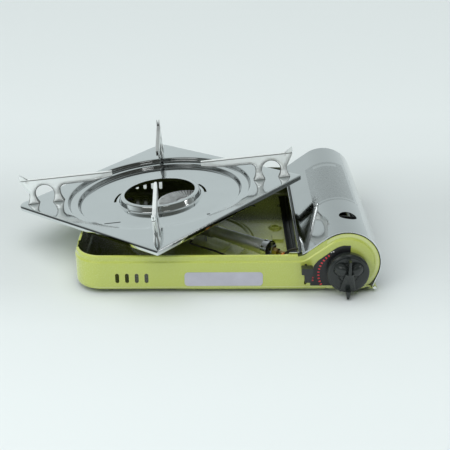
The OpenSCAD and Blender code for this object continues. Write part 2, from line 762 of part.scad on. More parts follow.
module burner_screws() {
    t = 1.2;
    at_home() color(ZINC) for (s = [-1, 1]) translate([burner_x + 9 * s, burner_y, 0]) {
        translate([0, 0, burner_z - t - 2]) cylinder(h = 2, d = 7);
        translate([0, 0, burner_z - t]) cylinder(h = t + burner_wall + 1, d = 4);
    }
}

// ---- ignition ----------------------------------------------------------------------------

spark_angle = -85;
spark_r = cap_r + 5;
spark = [burner_x + spark_r * cos(spark_angle), burner_y + spark_r * sin(spark_angle)];
ceramic_d = 6;
ceramic_z = [22, 43];
lead_d = 2.4;
clip_z = 26;

module igniter_electrode() {
    at_home() color(ZINC) translate([spark[0], spark[1], 0])
        translate([0, 0, ceramic_z[0] + 4]) cylinder(h = head_top - 2 - ceramic_z[0] - 4, d = 2);
}

module electrode_ceramic() {
    at_home() color(CERAMIC) translate([spark[0], spark[1], 0]) difference() {
        union() {
            translate([0, 0, ceramic_z[0]]) cylinder(h = ceramic_z[1] - ceramic_z[0], d = ceramic_d);
            translate([0, 0, clip_z + 1.2]) cylinder(h = 3, d = ceramic_d + 3);
        }
        translate([0, 0, ceramic_z[0] + 4]) cylinder(h = 30, d = 2 + 2 * fit_clear);
    }
}

module electrode_clip() {
    at_home() color(ZINC) translate([burner_x, burner_y, clip_z]) difference() {
        rotate([0, 0, spark_angle]) translate([chamber_r - 2, -5, 0]) cube([spark_r - chamber_r + 8, 10, 1.2]);
        translate([0, 0, -over]) cylinder(h = 3, r = chamber_r);
        rotate([0, 0, spark_angle]) translate([spark_r, 0, -over])
            cylinder(h = 3, d = ceramic_d + 2 * fit_clear);
    }
}

cam_y = [4.5, 4.5 + cam_t];
piezo_y = (cam_y[0] + cam_y[1]) / 2;
piezo_x = [hump_x - 33, hump_x - 15];
piezo_h = 11;
piezo_d = 9;

// Route of the ignition lead: from the ceramic along the floor, over the shield to the igniter
lead_route = [[spark[0], spark[1], ceramic_z[0] - end_gap], [spark[0], spark[1], 19],
    [spark[0], spark[1], 15], [-14, 84, 9], [8, 68, 7],
    [32, 50, 8], [50, 41, 15], [62, 38, 25], [73, 34, 34], [shield_x - 1, lead_cross[0], lead_cross[1]],
    [90, 26, 37.5], [95, 19, 36], [piezo_x[0] - 3.9, 11, 31], [piezo_x[0] - 4, piezo_y + 0.5, knob_z + 1],
    [piezo_x[0] - end_gap, piezo_y, knob_z]];

module ignition_lead() {
    at_home() color("#d9702c") swept(spline(lead_route, 5), lead_d, 8, [0.35, 0.9, 0.25]);
}

module piezo_igniter() {
    at_home() color(BLACK) difference() {
        translate([piezo_x[0], piezo_y - piezo_d / 2, knob_z - piezo_h / 2])
            cube([piezo_x[1] - piezo_x[0], piezo_d, piezo_h]);
        rod_x(piezo_y, knob_z, piezo_x[0] + 3, piezo_x[1] + over, plunger_d + 2 * run_clear);
    }
}

module piezo_bracket() {
    y0 = piezo_y + piezo_d / 2;
    at_home() color(ZINC) {
        translate([piezo_x[0], y0, sheet]) cube([14, 1.2, knob_z + piezo_h / 2 - sheet]);
        translate([piezo_x[0], y0, sheet]) cube([14, 9, 1.2]);
    }
}

plunger_len = (knob_x - cam_r - cam_gap) - (piezo_x[0] + 3 + piezo_stroke + 0.5);

module piezo_plunger() {
    x1 = knob_x - cam_r - cam_gap;
    at_home() color(CERAMIC) {
        rod_x(piezo_y, knob_z, x1 - plunger_len, x1 - plunger_d / 2, plunger_d);
        translate([x1 - plunger_d / 2, piezo_y, knob_z]) rotate([0, 90, 0]) intersection() {
            sphere(d = plunger_d);
            cylinder(h = plunger_d, d = plunger_d + 1);
        }
    }
}

// Cam outline: the radius grows evenly over the knob's turn, measured on its left side at rest
function cam_radius(b) = b > 180 ? cam_r : cam_r + piezo_stroke * min((180 - b) / knob_turn, 1);

module striker_cam() {
    low = 180 - knob_turn - 10;
    at_home() color(CERAMIC) difference() {
        translate([knob_x, 0, knob_z]) slab_y(cam_y[0], cam_y[1]) polygon(concat(
            [for (i = [0:60]) let(b = low + (180 - low) * i / 60) cam_radius(b) * [cos(b), sin(b)]],
            [for (i = [1:60]) let(b = 180 + (180 + low) * i / 60) cam_r * [cos(b), sin(b)]]));
        rod_y(knob_x, knob_z, cam_y[0] - over, cam_y[1] + over, shaft_d + 2 * fit_clear);
    }
}

// ---- cartridge bay -----------------------------------------------------------------------

rail_off = 22;
rail_w = 3;
rail_z = 8.5;
rail_foot = 3;
rail_y = [seat_y + 13, body_d - 42];
guide_y = [50, 51.5];
guide_r = 32.6;

module cartridge_rails() {
    at_home() color(ZINC) for (s = [-1, 1])
        translate([hump_x + s * rail_off - rail_w / 2, rail_y[0], sheet]) {
            cube([rail_w, rail_y[1] - rail_y[0], rail_z - sheet]);
            translate([s > 0 ? rail_w - 0.01 : -rail_foot + 0.01, 0, 0])
                cube([rail_foot, rail_y[1] - rail_y[0], sheet]);
        }
}

module cartridge_guide() {
    at_home() color(STEEL) difference() {
        union() {
            slab_y(guide_y[0], guide_y[1]) {
                translate([hump_x, cart_z]) circle(r = guide_r);
                translate([hump_x - 20, sheet]) square([40, 16]);
            }
            translate([hump_x - 20, guide_y[0] - 9, sheet]) cube([40, 10, 1.2]);
            translate([hump_x - 3, guide_y[1] - 0.5, cart_z + 22]) cube([6, 4, 3]);
        }
        rod_y(hump_x, cart_z, guide_y[0] - over, guide_y[1] + over, 38);
        for (s = [-1, 1]) translate([hump_x + 14 * s, guide_y[0] - 5, 0]) cylinder(h = 5, d = 3.2);
    }
}

// ---- lock lever and carriage -------------------------------------------------------------

ear_gap = 0.6;
ear_t = 1.2;
pin_d = 3;
drive_d = 4;
rod_x0 = lever_x + lever_t / 2 + 2.3;
drive_z = pivot_z + drive_r;
rod_z = [drive_z - 7, drive_z + 7];
pusher_y = 250;

module lever_bracket() {
    w = lever_t / 2 + ear_gap;
    at_home() color(ZINC) difference() {
        union() {
            for (s = [-1, 1]) slab_x(lever_x + (s > 0 ? w : -w - ear_t), lever_x + (s > 0 ? w + ear_t : -w)) {
                translate([pivot_y, pivot_z]) circle(r = 4);
                translate([pivot_y - 4, sheet]) square([8, pivot_z - sheet]);
            }
            translate([lever_x - w - ear_t, pivot_y - 7, sheet]) cube([2 * (w + ear_t), 14, 1]);
        }
        rod_x(pivot_y, pivot_z, lever_x - 6, lever_x + 6, pin_d + 2 * fit_clear);
    }
}

module lever_pin() {
    w = lever_t / 2 + ear_gap + ear_t;
    at_home() color(ZINC) {
        rod_x(pivot_y, pivot_z, lever_x - w - 0.3, lever_x + w, pin_d);
        rod_x(pivot_y, pivot_z, lever_x - w - 1.3, lever_x - w, pin_d + 2);
    }
}

// Lever outline in Y and Z, from the cap's end to the pivot and the drive pin
module lever_2d() {
    polygon([[-10, drive_z + 4.5], [-10, drive_z - 6], [3, drive_z - 7], [pivot_y - 3, pivot_z - 4.2],
        [pivot_y + 3, pivot_z - 4.2], [pivot_y + 4.5, pivot_z], [pivot_y + 3.5, drive_z + 1.5],
        [pivot_y, drive_z + 4], [pivot_y - 5, drive_z + 4.5]]);
}

module lock_lever() {
    at_home() color(ZINC) difference() {
        union() {
            slab_x(lever_x - lever_t / 2, lever_x + lever_t / 2) lever_2d();
            rod_x(pivot_y, drive_z, lever_x, rod_x0 + carriage_t + 0.6, drive_d);
        }
        rod_x(pivot_y, pivot_z, lever_x - 3, lever_x + 3, pin_d + 2 * run_clear);
    }
}

cap_back = 3;
cap_face = 12;

module lever_cap() {
    at_home() color(BLACK) difference() {
        union() {
            slab_y(-cap_face, -cap_back) translate([lever_x + 1, drive_z + 2.9]) round_rect(12.8, 7.4, 1);
            slab_y(-cap_face + 0.5, -cap_back) translate([lever_x, drive_z - 10.5])
                polygon([[-1.4, 0], [5.7, 0], [6.6, 11], [-2.6, 11]]);
        }
        slab_x(lever_x - lever_t / 2 - fit_clear, lever_x + lever_t / 2 + fit_clear)
            polygon([[-10 - fit_clear, drive_z + 4.5 + fit_clear], [-10 - fit_clear, drive_z - 6 - fit_clear],
                [over, drive_z - 7.5], [over, drive_z + 4.5 + fit_clear]]);
    }
}

module carriage_rod() {
    at_home() color(STEEL) difference() {
        slab_x(rod_x0, rod_x0 + carriage_t)
            translate([pivot_y - 7, rod_z[0]]) square([pusher_y - pivot_y + 7, rod_z[1] - rod_z[0]]);
        slab_x(rod_x0 - over, rod_x0 + carriage_t + over)
            translate([pivot_y, drive_z - 0.6]) square([drive_d + 0.8, drive_d + 2.4], center = true);
    }
}

module pusher_plate() {
    at_home() color(STEEL) difference() {
        union() {
            slab_y(pusher_y, pusher_y + carriage_t) polygon([
                [rod_x0, rod_z[0]], [hump_x - 18, 14], [hump_x + 14, 14], [hump_x + 18, 20],
                [hump_x + 18, 50], [hump_x + 12, 56], [hump_x - 12, 56], [hump_x - 18, 50],
                [hump_x - 22, rod_z[1]], [rod_x0, rod_z[1]]]);
            rod_y(hump_x, cart_z, pusher_y - 1.5, pusher_y, 24);
        }
        rod_y(hump_x, cart_z, pusher_y - 2, pusher_y + 2, 8);
    }
}

guide_gap = 0.3;
guide_wall = 1.2;

module rod_guides() {
    x1 = rod_x0 + carriage_t + guide_gap + guide_wall;
    at_home() color(ZINC) for (y = [seat_y + 17, body_d - 63]) translate([0, y, 0]) difference() {
        translate([shield_x, 0, rod_z[0] - guide_gap - guide_wall])
            cube([x1 - shield_x, 12, rod_z[1] - rod_z[0] + 2 * (guide_gap + guide_wall)]);
        translate([rod_x0 - guide_gap, -over, rod_z[0] - guide_gap])
            cube([carriage_t + 2 * guide_gap, 13, rod_z[1] - rod_z[0] + 2 * guide_gap]);
        translate([rod_x0, -over, rod_z[0] + 2]) cube([9, 13, rod_z[1] - rod_z[0] - 4]);
    }
}

// ---- cover and hinge ---------------------------------------------------------------------

knuckle_len = 16;
knuckle_gap = 0.5;
body_knuckles = [3, body_d / 2 - 8, body_d - 19];
leaf_knuckles = [3 + knuckle_len + knuckle_gap, body_d / 2 + 8 + knuckle_gap,
    body_d - 19 - knuckle_len - knuckle_gap];

module hinge_knuckles() {
    at_home() color(ENAMEL) for (y = body_knuckles) difference() {
        union() {
            rod_y(hinge_x, hinge_z, y, y + knuckle_len, knuckle_d);
            translate([floor_right, y, hinge_z - 1.2]) cube([hinge_x - floor_right, knuckle_len, 1.4]);
        }
        rod_y(hinge_x, hinge_z, y - over, y + knuckle_len + over, hinge_pin_d + 2 * fit_clear);
    }
}

module hinge_pin() {
    at_home() color(STEEL) {
        rod_y(hinge_x, hinge_z, 2.5, body_knuckles[2] + knuckle_len + 0.5, hinge_pin_d);
        rod_y(hinge_x, hinge_z, 1.5, 2.5, knuckle_d - 1.2);
    }
}

foot_x = shield_x + over;

module cartridge_cover() {
    at_home() color(STEEL) difference() {
        slab_y(cover_front, body_d - cover_rear) difference() {
            polygon(hump_pts(-cover_gap - cover_sheet, foot_x, skirt_end_z));
            polygon(hump_pts(-cover_gap, foot_x, skirt_end_z));
        }
        translate([hump_x + 5.1, 47, hump_z]) cylinder(h = 60, d = cover_hole_d);
    }
}

module cover_hinge_leaf() {
    top_z = 12;
    low_z = skirt_end_z - 1;
    inner = 0.02 - cover_gap;
    at_home() color(ZINC) for (y = leaf_knuckles) difference() {
        union() {
            rod_y(hinge_x, hinge_z, y, y + knuckle_len, knuckle_d);
            slab_y(y, y + knuckle_len) polygon([
                [skirt_x(inner, top_z), top_z], [skirt_x(inner, skirt_end_z), skirt_end_z],
                [skirt_x(inner, skirt_end_z) + 1, skirt_end_z - 0.02],
                [hinge_x - 0.8, hinge_z + 1.8], [hinge_x - 1.7, hinge_z + 0.2],
                [skirt_x(inner, low_z) - 0.9, low_z], [skirt_x(inner, top_z) - 0.9, top_z]]);
        }
        rod_y(hinge_x, hinge_z, y - over, y + knuckle_len + over, hinge_pin_d + 2 * run_clear);
    }
}

// ---- control knob ------------------------------------------------------------------------

shaft_y = [-knob_gap - knob_disc - 1.5, valve_y + 5];

module control_knob() {
    face = knob_gap + knob_disc;
    at_home() color(BLACK) translate([knob_x, 0, knob_z]) difference() {
        union() {
            translate([0, -knob_gap, 0]) rotate([90, 0, 0]) cylinder(h = knob_disc - 1.5, r = knob_r);
            translate([0, -face + 1.5, 0]) rotate([90, 0, 0]) cylinder(h = 1.5, r1 = knob_r, r2 = knob_r - 1.5);
            slab_y(-grip_y, -face) polygon([[-3, 19.5], [3, 19.5], [5, 8], [5, -10], [2.2, -tail_r + 2],
                [1.2, -tail_r], [-1.2, -tail_r], [-2.2, -tail_r + 2], [-5, -10], [-5, 8]]);
            rod_y(0, 0, -face - 4, -face, 22);
        }
        rod_y(0, 0, shaft_y[0], 0, shaft_d + 2 * fit_clear);
    }
}

module valve_shaft() {
    at_home() color(BRASS) rod_y(knob_x, knob_z, shaft_y[0], shaft_y[1], shaft_d);
}

// ---- drip tray and pan supports ----------------------------------------------------------

ledge_r = dish_r - ledge_in;

// The tray's frame: its plate's top face is Z = 0, its corners lie on X and Y
module on_tray() {
    translate([tray_x, tray_y, tray_z]) rotate([0, -tray_tilt, 0]) rotate([0, 0, tray_turn]) children();
}

// Square plate with a corner on each axis, inset by d
function plate_pts(d) = let(h = half_side - d) concat(
    corner_pts(0, h, corner_right - d), corner_pts(90, h, corner_back - d),
    corner_pts(180, h, corner_left - d), corner_pts(270, h, corner_front - d));
function corner_pts(a, h, r0) = let(r = max(r0, 0.4), c = (h - r) * sqrt(2))
    arc_pts(c * cos(a), c * sin(a), r, a - 45, a + 45, 8);

module drip_tray() {
    t = tray_sheet;
    at_home() color(STEEL) on_tray() difference() {
        union() {
            translate([0, 0, -t]) linear_extrude(t) difference() {
                polygon(plate_pts(0));
                circle(r = dish_r - 1, $fn = 144);
            }
            translate([0, 0, -lip_h]) linear_extrude(lip_h) difference() {
                polygon(plate_pts(0));
                polygon(plate_pts(t));
            }
            rotate_extrude($fn = 144) polygon([
                [dish_r, 0], [dish_r - 1.5, -0.7], [dish_r - 2.5, -ledge_drop], [ledge_r, -ledge_drop],
                [ledge_r - 1.2, -ledge_drop - 0.8], [ledge_r - 2, -dish_drop], [collar_r, -dish_drop],
                [collar_r - 2, -dish_drop + 1], [hole_r + 3, -collar_drop - 0.5], [hole_r, -collar_drop],
                [hole_r, -collar_drop - t], [hole_r + 2.4, -collar_drop - 0.5 - t],
                [collar_r - 2.8, -dish_drop + 0.4], [collar_r - 0.5, -dish_drop - t],
                [ledge_r - 1.2, -dish_drop - t], [ledge_r - 0.4, -ledge_drop - t - 0.4],
                [dish_r - 1.7, -ledge_drop - t], [dish_r - 0.7, -t], [dish_r, -t]]);
        }
        for (s = [0, 152], i = [0:6])
            rotate([0, 0, s + 5 * i]) translate([collar_r + 3.6, 0, -dish_drop - 2])
                cylinder(h = 4, d = 3, $fn = 24);
    }
}

horn_r = outer_foot_r - 3.5;
leg_flare = 3;         // how far a foot stands out from its leg
flare_r = 6;
cove_r = 6.5;
leg_z = 12;            // height at which the outer leg starts to slope out to the horn
bar_taper = 26;
tooth_n = 8;
tooth_step = 2.5;

// Outline of a pan support, radius from the tray's centre across and height up
module support_2d() {
    top = support_h;
    under = top - bar_root;
    waist = [inner_foot_r + leg_flare, outer_foot_r - leg_flare];
    arch_x = (inner_foot_r + outer_foot_r) / 2;
    arch_r = arch_x - inner_foot_r - foot_w + leg_flare;
    arch_z = under + 2 - arch_r;
    difference() {
        polygon([[tip_r, top], [tip_r, top - bar_tip], [tip_r + bar_taper, under + 0.3],
            [waist[0] - cove_r, under], [waist[0], under - cove_r], [waist[0], flare_r],
            [inner_foot_r, flare_r], [inner_foot_r, 0], [outer_foot_r, 0], [outer_foot_r, flare_r],
            [waist[1], flare_r], [waist[1], leg_z], [horn_r + 7.9, top - 3],
            [horn_r + 8.4, top + horn_h], [horn_r, top]]);
        translate([waist[0] - cove_r, under - cove_r]) circle(r = cove_r);
        translate([arch_x, arch_z]) circle(r = arch_r);
        translate([arch_x - arch_r, flare_r]) square([2 * arch_r, arch_z - flare_r]);
        translate([arch_x - arch_r + leg_flare, -1])
            square([2 * (arch_r - leg_flare), flare_r + 1.01]);
        for (x = [waist[0] - flare_r, arch_x - arch_r + flare_r, arch_x + arch_r - flare_r,
                waist[1] + flare_r])
            translate([x, flare_r]) circle(r = flare_r);
        for (i = [0:tooth_n - 1]) translate([outer_foot_r - 8.6 - tooth_step * i, top + 0.3])
            circle(r = 0.8, $fn = 16);
    }
}

// Half the width of a folded support at height z, and how far out it narrows towards its tip
function support_half(z) = (support_foot_w - (support_foot_w - support_top_w) * z / support_h) / 2;
narrow_r = 100;

// The wedge that a support is folded to, moved inwards by d, between two heights
module support_wedge(d, low, high) {
    far = outer_foot_r + 10;
    tip = support_tip_w / 2;
    foot = support_foot_w / 2;
    intersection() {
        rotate([90, 0, 90]) linear_extrude(far) polygon([
            [d - support_half(low), low], [support_half(low) - d, low],
            [support_half(high) - d, high], [d - support_half(high), high]]);
        translate([0, 0, low]) linear_extrude(high - low) polygon([
            [tip_r - over, d - tip], [narrow_r, d - foot], [far, d - foot],
            [far, foot - d], [narrow_r, foot - d], [tip_r - over, tip - d]]);
    }
}

module pan_support(a) {
    at_home() color(STEEL) on_tray() rotate([0, 0, a]) difference() {
        intersection() {
            translate([0, support_foot_w / 2 + 1, 0]) rotate([90, 0, 0])
                linear_extrude(support_foot_w + 2) support_2d();
            support_wedge(0, 0, support_h + horn_h + 1);
        }
        support_wedge(support_sheet, support_sheet, support_h - support_sheet);
        intersection() {
            support_wedge(support_sheet, support_sheet, support_h + horn_h + 2);
            translate([horn_r, -support_foot_w, 0])
                cube([20, 2 * support_foot_w, support_h + horn_h + 3]);
        }
    }
}

module pan_support_front() { pan_support(270); }
module pan_support_right() { pan_support(0); }
module pan_support_back() { pan_support(90); }
module pan_support_left() { pan_support(180); }

// ---- what is drawn -----------------------------------------------------------------------

body_pan();
rubber_feet();
wall_rivets();
heat_shield();
nameplate();
dial_plate();
regulator_body();
regulator_cover();
nozzle_seat();
inlet_seal();
regulator_bracket();
regulator_screws();
gas_pipe();
gas_jet();
jet_bracket();
air_shutter();
mixing_tube();
burner_base();
burner_cap();
burner_bracket();
burner_screws();
igniter_electrode();
electrode_ceramic();
electrode_clip();
ignition_lead();
piezo_igniter();
piezo_bracket();
cartridge_rails();
cartridge_guide();
lever_bracket();
lever_pin();
rod_guides();
hinge_knuckles();
hinge_pin();
cartridge_cover();
cover_hinge_leaf();
control_knob();
valve_shaft();
striker_cam();
piezo_plunger();
lock_lever();
lever_cap();
carriage_rod();
pusher_plate();
drip_tray();
pan_support_front();
pan_support_right();
pan_support_back();
pan_support_left();
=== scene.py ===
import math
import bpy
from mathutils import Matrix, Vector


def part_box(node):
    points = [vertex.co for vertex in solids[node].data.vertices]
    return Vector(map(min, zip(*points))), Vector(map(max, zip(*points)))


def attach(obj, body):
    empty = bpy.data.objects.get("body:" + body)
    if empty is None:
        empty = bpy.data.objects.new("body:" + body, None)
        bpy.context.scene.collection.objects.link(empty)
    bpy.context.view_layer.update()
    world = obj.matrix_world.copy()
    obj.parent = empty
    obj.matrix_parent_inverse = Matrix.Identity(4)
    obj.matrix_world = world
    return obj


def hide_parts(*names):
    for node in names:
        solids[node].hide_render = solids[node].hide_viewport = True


bl_info = {
    "name": "Cassette stove dressing",
    "version": (1, 0, 0),
    "blender": (4, 5, 0),
    "location": "View3D > Sidebar > Stove",
    "description": "Builds the enamel, bright steel and plastic pieces of a butane cassette stove",
    "category": "Object",
}

import bmesh
import bpy
from bpy.props import FloatProperty, FloatVectorProperty, IntProperty, PointerProperty
from bpy.types import Operator, Panel, PropertyGroup
from mathutils import Matrix, Vector
from mathutils.geometry import delaunay_2d_cdt, tessellate_polygon

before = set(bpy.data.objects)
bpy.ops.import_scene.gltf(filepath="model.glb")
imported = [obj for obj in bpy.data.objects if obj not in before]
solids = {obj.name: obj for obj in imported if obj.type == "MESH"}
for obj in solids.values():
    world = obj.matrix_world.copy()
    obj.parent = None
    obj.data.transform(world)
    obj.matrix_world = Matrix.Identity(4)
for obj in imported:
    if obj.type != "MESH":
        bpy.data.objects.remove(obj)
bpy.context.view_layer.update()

MM = 0.001
METRES = Matrix.Scale(MM, 4)
PAN_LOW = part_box("body_pan")[0]

# Sizes of the stove, in millimetres, in the body frame: X = 0 is the middle of the body's width,
# Y = 0 the front face and Z = 0 the underside of the pan

# The pan, the band that stands back under its rim, and the flanges along its rim and its hump
BODY_W, BODY_D, RIM_H, SHEET = 338.0, 278.0, 42.1, 1.0
CORNER_R, BOTTOM_R = 32.0, 6.0
BAND_H, BAND_IN, RIM_FLANGE, HUMP_FLANGE = 6.8, 1.5, 3.0, 10.0
LEFT_X = -BODY_W / 2

# The hump: an arch over the cartridge that ends in a sloping skirt at the right and, at FLANK from
# the level, in a fillet down to the rim at the left
COVER_R, COVER_SHEET, COVER_GAP = 38.1, 0.5, 0.4
HUMP_X, HUMP_Z = BODY_W / 2 - COVER_R, 32.0
PANEL_R = COVER_R - COVER_SHEET - COVER_GAP
FLANK, SKIRT, FILLET_R = math.radians(126.5), math.radians(20), 14.0
FLANK_N = (math.cos(FLANK), math.sin(FLANK))
FILLET_Z = RIM_H + FILLET_R
FILLET_S = (FILLET_Z - HUMP_Z - (PANEL_R + FILLET_R) * FLANK_N[1]) / FLANK_N[0]
FILLET_X = HUMP_X + (PANEL_R + FILLET_R) * FLANK_N[0] - FILLET_S * FLANK_N[1]
WINDOW, WINDOW_R = (HUMP_X + 5.1, 47.0), 10.0

# Cuts and fixings of the pan
VENTS, VENT_AT, VENT_STEP, VENT_W, VENT_H = 4, (LEFT_X + CORNER_R + 17, 16.0), 10.7, 4.3, 11.6
RIVET_Y, RIVET_Z, RIVET_R = (38.0, BODY_D - 38.0), 13.0, 1.52
FEET_X, FEET_Y, PEG_R = (LEFT_X + 40, HUMP_X + 15), (16, BODY_D - 16), 3.02
FLOOR_HOLES, FLOOR_HOLE_R = ((73.6, 238.5), (37.0, 240.3)), 4.3

# The shield, the burner at the end of its slanting mixing tube, and the spark beside it
SHIELD_X, SHIELD_T, SHIELD_H, SHIELD_TOP = HUMP_X - 48.9, 0.8, 44.3, 3.5
TUBE_TURN, TUBE_LEN = math.radians(38.7), 133.0
BURNER = (SHIELD_X - 22.7 - TUBE_LEN * math.cos(TUBE_TURN), 134.0)
CAP_R, HEAD_TOP, RIB_COUNT, RIB_IN = 38.5, 51.84, 56, 16.0
SPARK_TURN, SPARK_R = math.radians(-85), 43.5

# Front panel: the knob's axis, the lever's slot and the middle of the dial's ticks
KNOB, LEVER_X, DIAL = (HUMP_X + 1, 25.5), HUMP_X - 44.5, (127.6, 20.9)

# The tray: its plate, its dish in two steps with a collar round the hole, and where it lies
TRAY_SIDE, TRAY_SHEET, LIP_H, TRAY_CORNERS = 247.1, 0.8, 6.0, (3.0, 8.0, 10.0, 1.5)
DISH_R, LEDGE_R, LEDGE_DROP, DISH_DROP = 113.0, 101.0, 4.5, 9.3
COLLAR_R, HOLE_R, COLLAR_DROP, SLIT_R = 51.8, 43.0, 2.0, 54.0
TRAY_AT, TRAY_TILT, TRAY_TURN = (BURNER[0] - 36.4, 149.0, 60.6235), 5.33, 2.46
TRAY_DASHES = (((-55.0, -65.2), (18.5, 2.2)), ((57.0, -69.0), (3.4, 2.6)))

# A pan support: radii of its feet and tip from the tray's middle, heights, bell-shaped feet and
# half widths of its folded wedge
FOOT_IN, FOOT_OUT, FOOT_W, TIP_R, SUPPORT_H, SUPPORT_T = 115.6, 160.6, 14.6, 53.9, 31.4, 0.8
BAR_ROOT, BAR_TIP, BAR_TAPER, HORN_H = 10.6, 6.5, 26.0, 6.6
BELL, BELL_H, BELL_CURVE, COVE_R, FOLD_R = 3.5, 12.0, 1.9, 6.5, 1.1
TOP_HALF, FOOT_HALF, TIP_HALF, NARROW_R = 2.2, 4.3, 1.6, 100.0
TOOTH_W, TOOTH_DEEP, FIRST_TOOTH = 1.25, 0.45, FOOT_OUT - 7.4

HOME = Matrix.Translation(PAN_LOW - Vector((LEFT_X, 0, 0)) * MM) @ METRES
ON_TRAY = (HOME @ Matrix.Translation(TRAY_AT)
           @ Matrix.Rotation(math.radians(-TRAY_TILT), 4, "Y")
           @ Matrix.Rotation(math.radians(TRAY_TURN), 4, "Z"))


# ---- sizes and colours that a user would change ------------------------------------------------

class EnamelLook(PropertyGroup):
    """The enamel of the pan."""

    colour: FloatVectorProperty(name="Enamel", description="Colour of the stove enamel",
                                subtype="COLOR", size=3, min=0, max=1, default=(0.487, 0.556, 0.108))
    edge: FloatProperty(name="Edge radius", description="Radius of the pressed edges of the pan",
                        default=1.6 * MM, min=0.5 * MM, max=2.5 * MM, unit="LENGTH")
    peel: FloatProperty(name="Peel", description="Depth of the enamel's fine ripple",
                        default=0.006 * MM, min=0, max=0.2 * MM, unit="LENGTH", precision=5)


class SteelLook(PropertyGroup):
    """The polished sheet of the cover and the tray."""

    bright: FloatVectorProperty(name="Bright steel", description="Colour of the polished sheet",
                                subtype="COLOR", size=3, min=0, max=1, default=(0.74, 0.77, 0.775))
    shine: FloatProperty(name="Roughness", description="Roughness of the polished sheet",
                         default=0.07, min=0.02, max=0.5, subtype="FACTOR")


class SupportLook(PropertyGroup):
    """The shape of the pan supports."""

    teeth: IntProperty(name="Teeth", description="Number of teeth along a pan support's top edge",
                       default=8, min=3, max=14)
    belly: FloatProperty(name="Rounding", description="How far a support's wall curls in at its edges",
                         default=1.8 * MM, min=0, max=2.5 * MM, unit="LENGTH")


class StageLook(PropertyGroup):
    """The floor and the lamp overhead."""

    floor: FloatVectorProperty(name="Floor", description="Colour of the floor", subtype="COLOR",
                               size=3, min=0, max=1, default=(0.745, 0.80, 0.805))
    lamp: FloatProperty(name="Lamp", description="Strength of the soft lamp overhead",
                        default=2.15, min=0, max=6)


# ---- shader maths ------------------------------------------------------------------------------

class Wire:
    """One shader socket, used in sums as if it were a number."""

    def __init__(self, shades, socket):
        self.shades, self.socket = shades, socket

    def _with(self, operation, *values):
        """The result of a Math node."""
        return self.shades.node("ShaderNodeMath", {"operation": operation}, values)

    def __add__(self, other):
        return self._with("ADD", self, other)

    def __radd__(self, other):
        return self._with("ADD", other, self)

    def __sub__(self, other):
        return self._with("SUBTRACT", self, other)

    def __rsub__(self, other):
        return self._with("SUBTRACT", other, self)

    def __mul__(self, other):
        return self._with("MULTIPLY", self, other)

    def __rmul__(self, other):
        return self._with("MULTIPLY", other, self)

    def __truediv__(self, other):
        return self._with("DIVIDE", self, other)

    def __rtruediv__(self, other):
        return self._with("DIVIDE", other, self)

    def __pow__(self, other):
        return self._with("POWER", self, other)

    def __abs__(self):
        return self._with("ABSOLUTE", self)

    def __gt__(self, other):
        return self._with("GREATER_THAN", self, other)

    def __lt__(self, other):
        return self._with("LESS_THAN", self, other)

    def sqrt(self):
        """The square root."""
        return self._with("SQRT", self)

    def wave(self):
        """The sine of an angle."""
        return self._with("SINE", self)

    def at_least(self, other):
        """The larger of two values."""
        return self._with("MAXIMUM", self, other)

    def turn(self, other):
        """The angle whose tangent is this over other."""
        return self._with("ARCTAN2", self, other)

    def within(self, low, high, soft):
        """1 between low and high, falling to 0 over soft on either side."""
        clamp = {"clamp": True}
        up = self.shades.node("ShaderNodeMapRange", clamp, (self, low - soft, low, 0.0, 1.0))
        down = self.shades.node("ShaderNodeMapRange", clamp, (self, high, high + soft, 1.0, 0.0))
        return up * down


class Shades:
    """A shader tree under construction."""

    def __init__(self, tree):
        self.tree = tree

    def node(self, kind, settings, values, output=0):
        """Adds a node, sets it up, fills its sockets by order or by name, and gives one output."""
        made = self.tree.nodes.new(kind)
        for key, value in settings.items():
            if key == "stops":
                ramp = made.color_ramp
                while len(ramp.elements) < len(value):
                    ramp.elements.new(0.5)
                for element, (at, colour) in zip(ramp.elements, value):
                    element.position, element.color = at, (*colour, 1)
            else:
                setattr(made, key, value)
        pairs = values.items() if isinstance(values, dict) else enumerate(values)
        for key, value in pairs:
            if isinstance(value, Wire):
                self.tree.links.new(value.socket, made.inputs[key])
            else:
                made.inputs[key].default_value = value
        return Wire(self, made.outputs[output])

    def split(self, vector):
        """The three numbers of a vector."""
        parts = self.node("ShaderNodeSeparateXYZ", {}, [vector])
        return [Wire(self, parts.socket.node.outputs[i]) for i in range(3)]

    def ramp(self, value, *stops):
        """Grey that goes through (place, level) stops."""
        return self.node("ShaderNodeValToRGB", {"stops": [(at, (c, c, c)) for at, c in stops]},
                         [value])

    def blend(self, share, first, second):
        """Colour that goes from first to second with share."""
        first, second = [c if isinstance(c, Wire) else (*c, 1) for c in (first, second)]
        return self.node("ShaderNodeMix", {"data_type": "RGBA"}, {0: share, 6: first, 7: second}, 2)


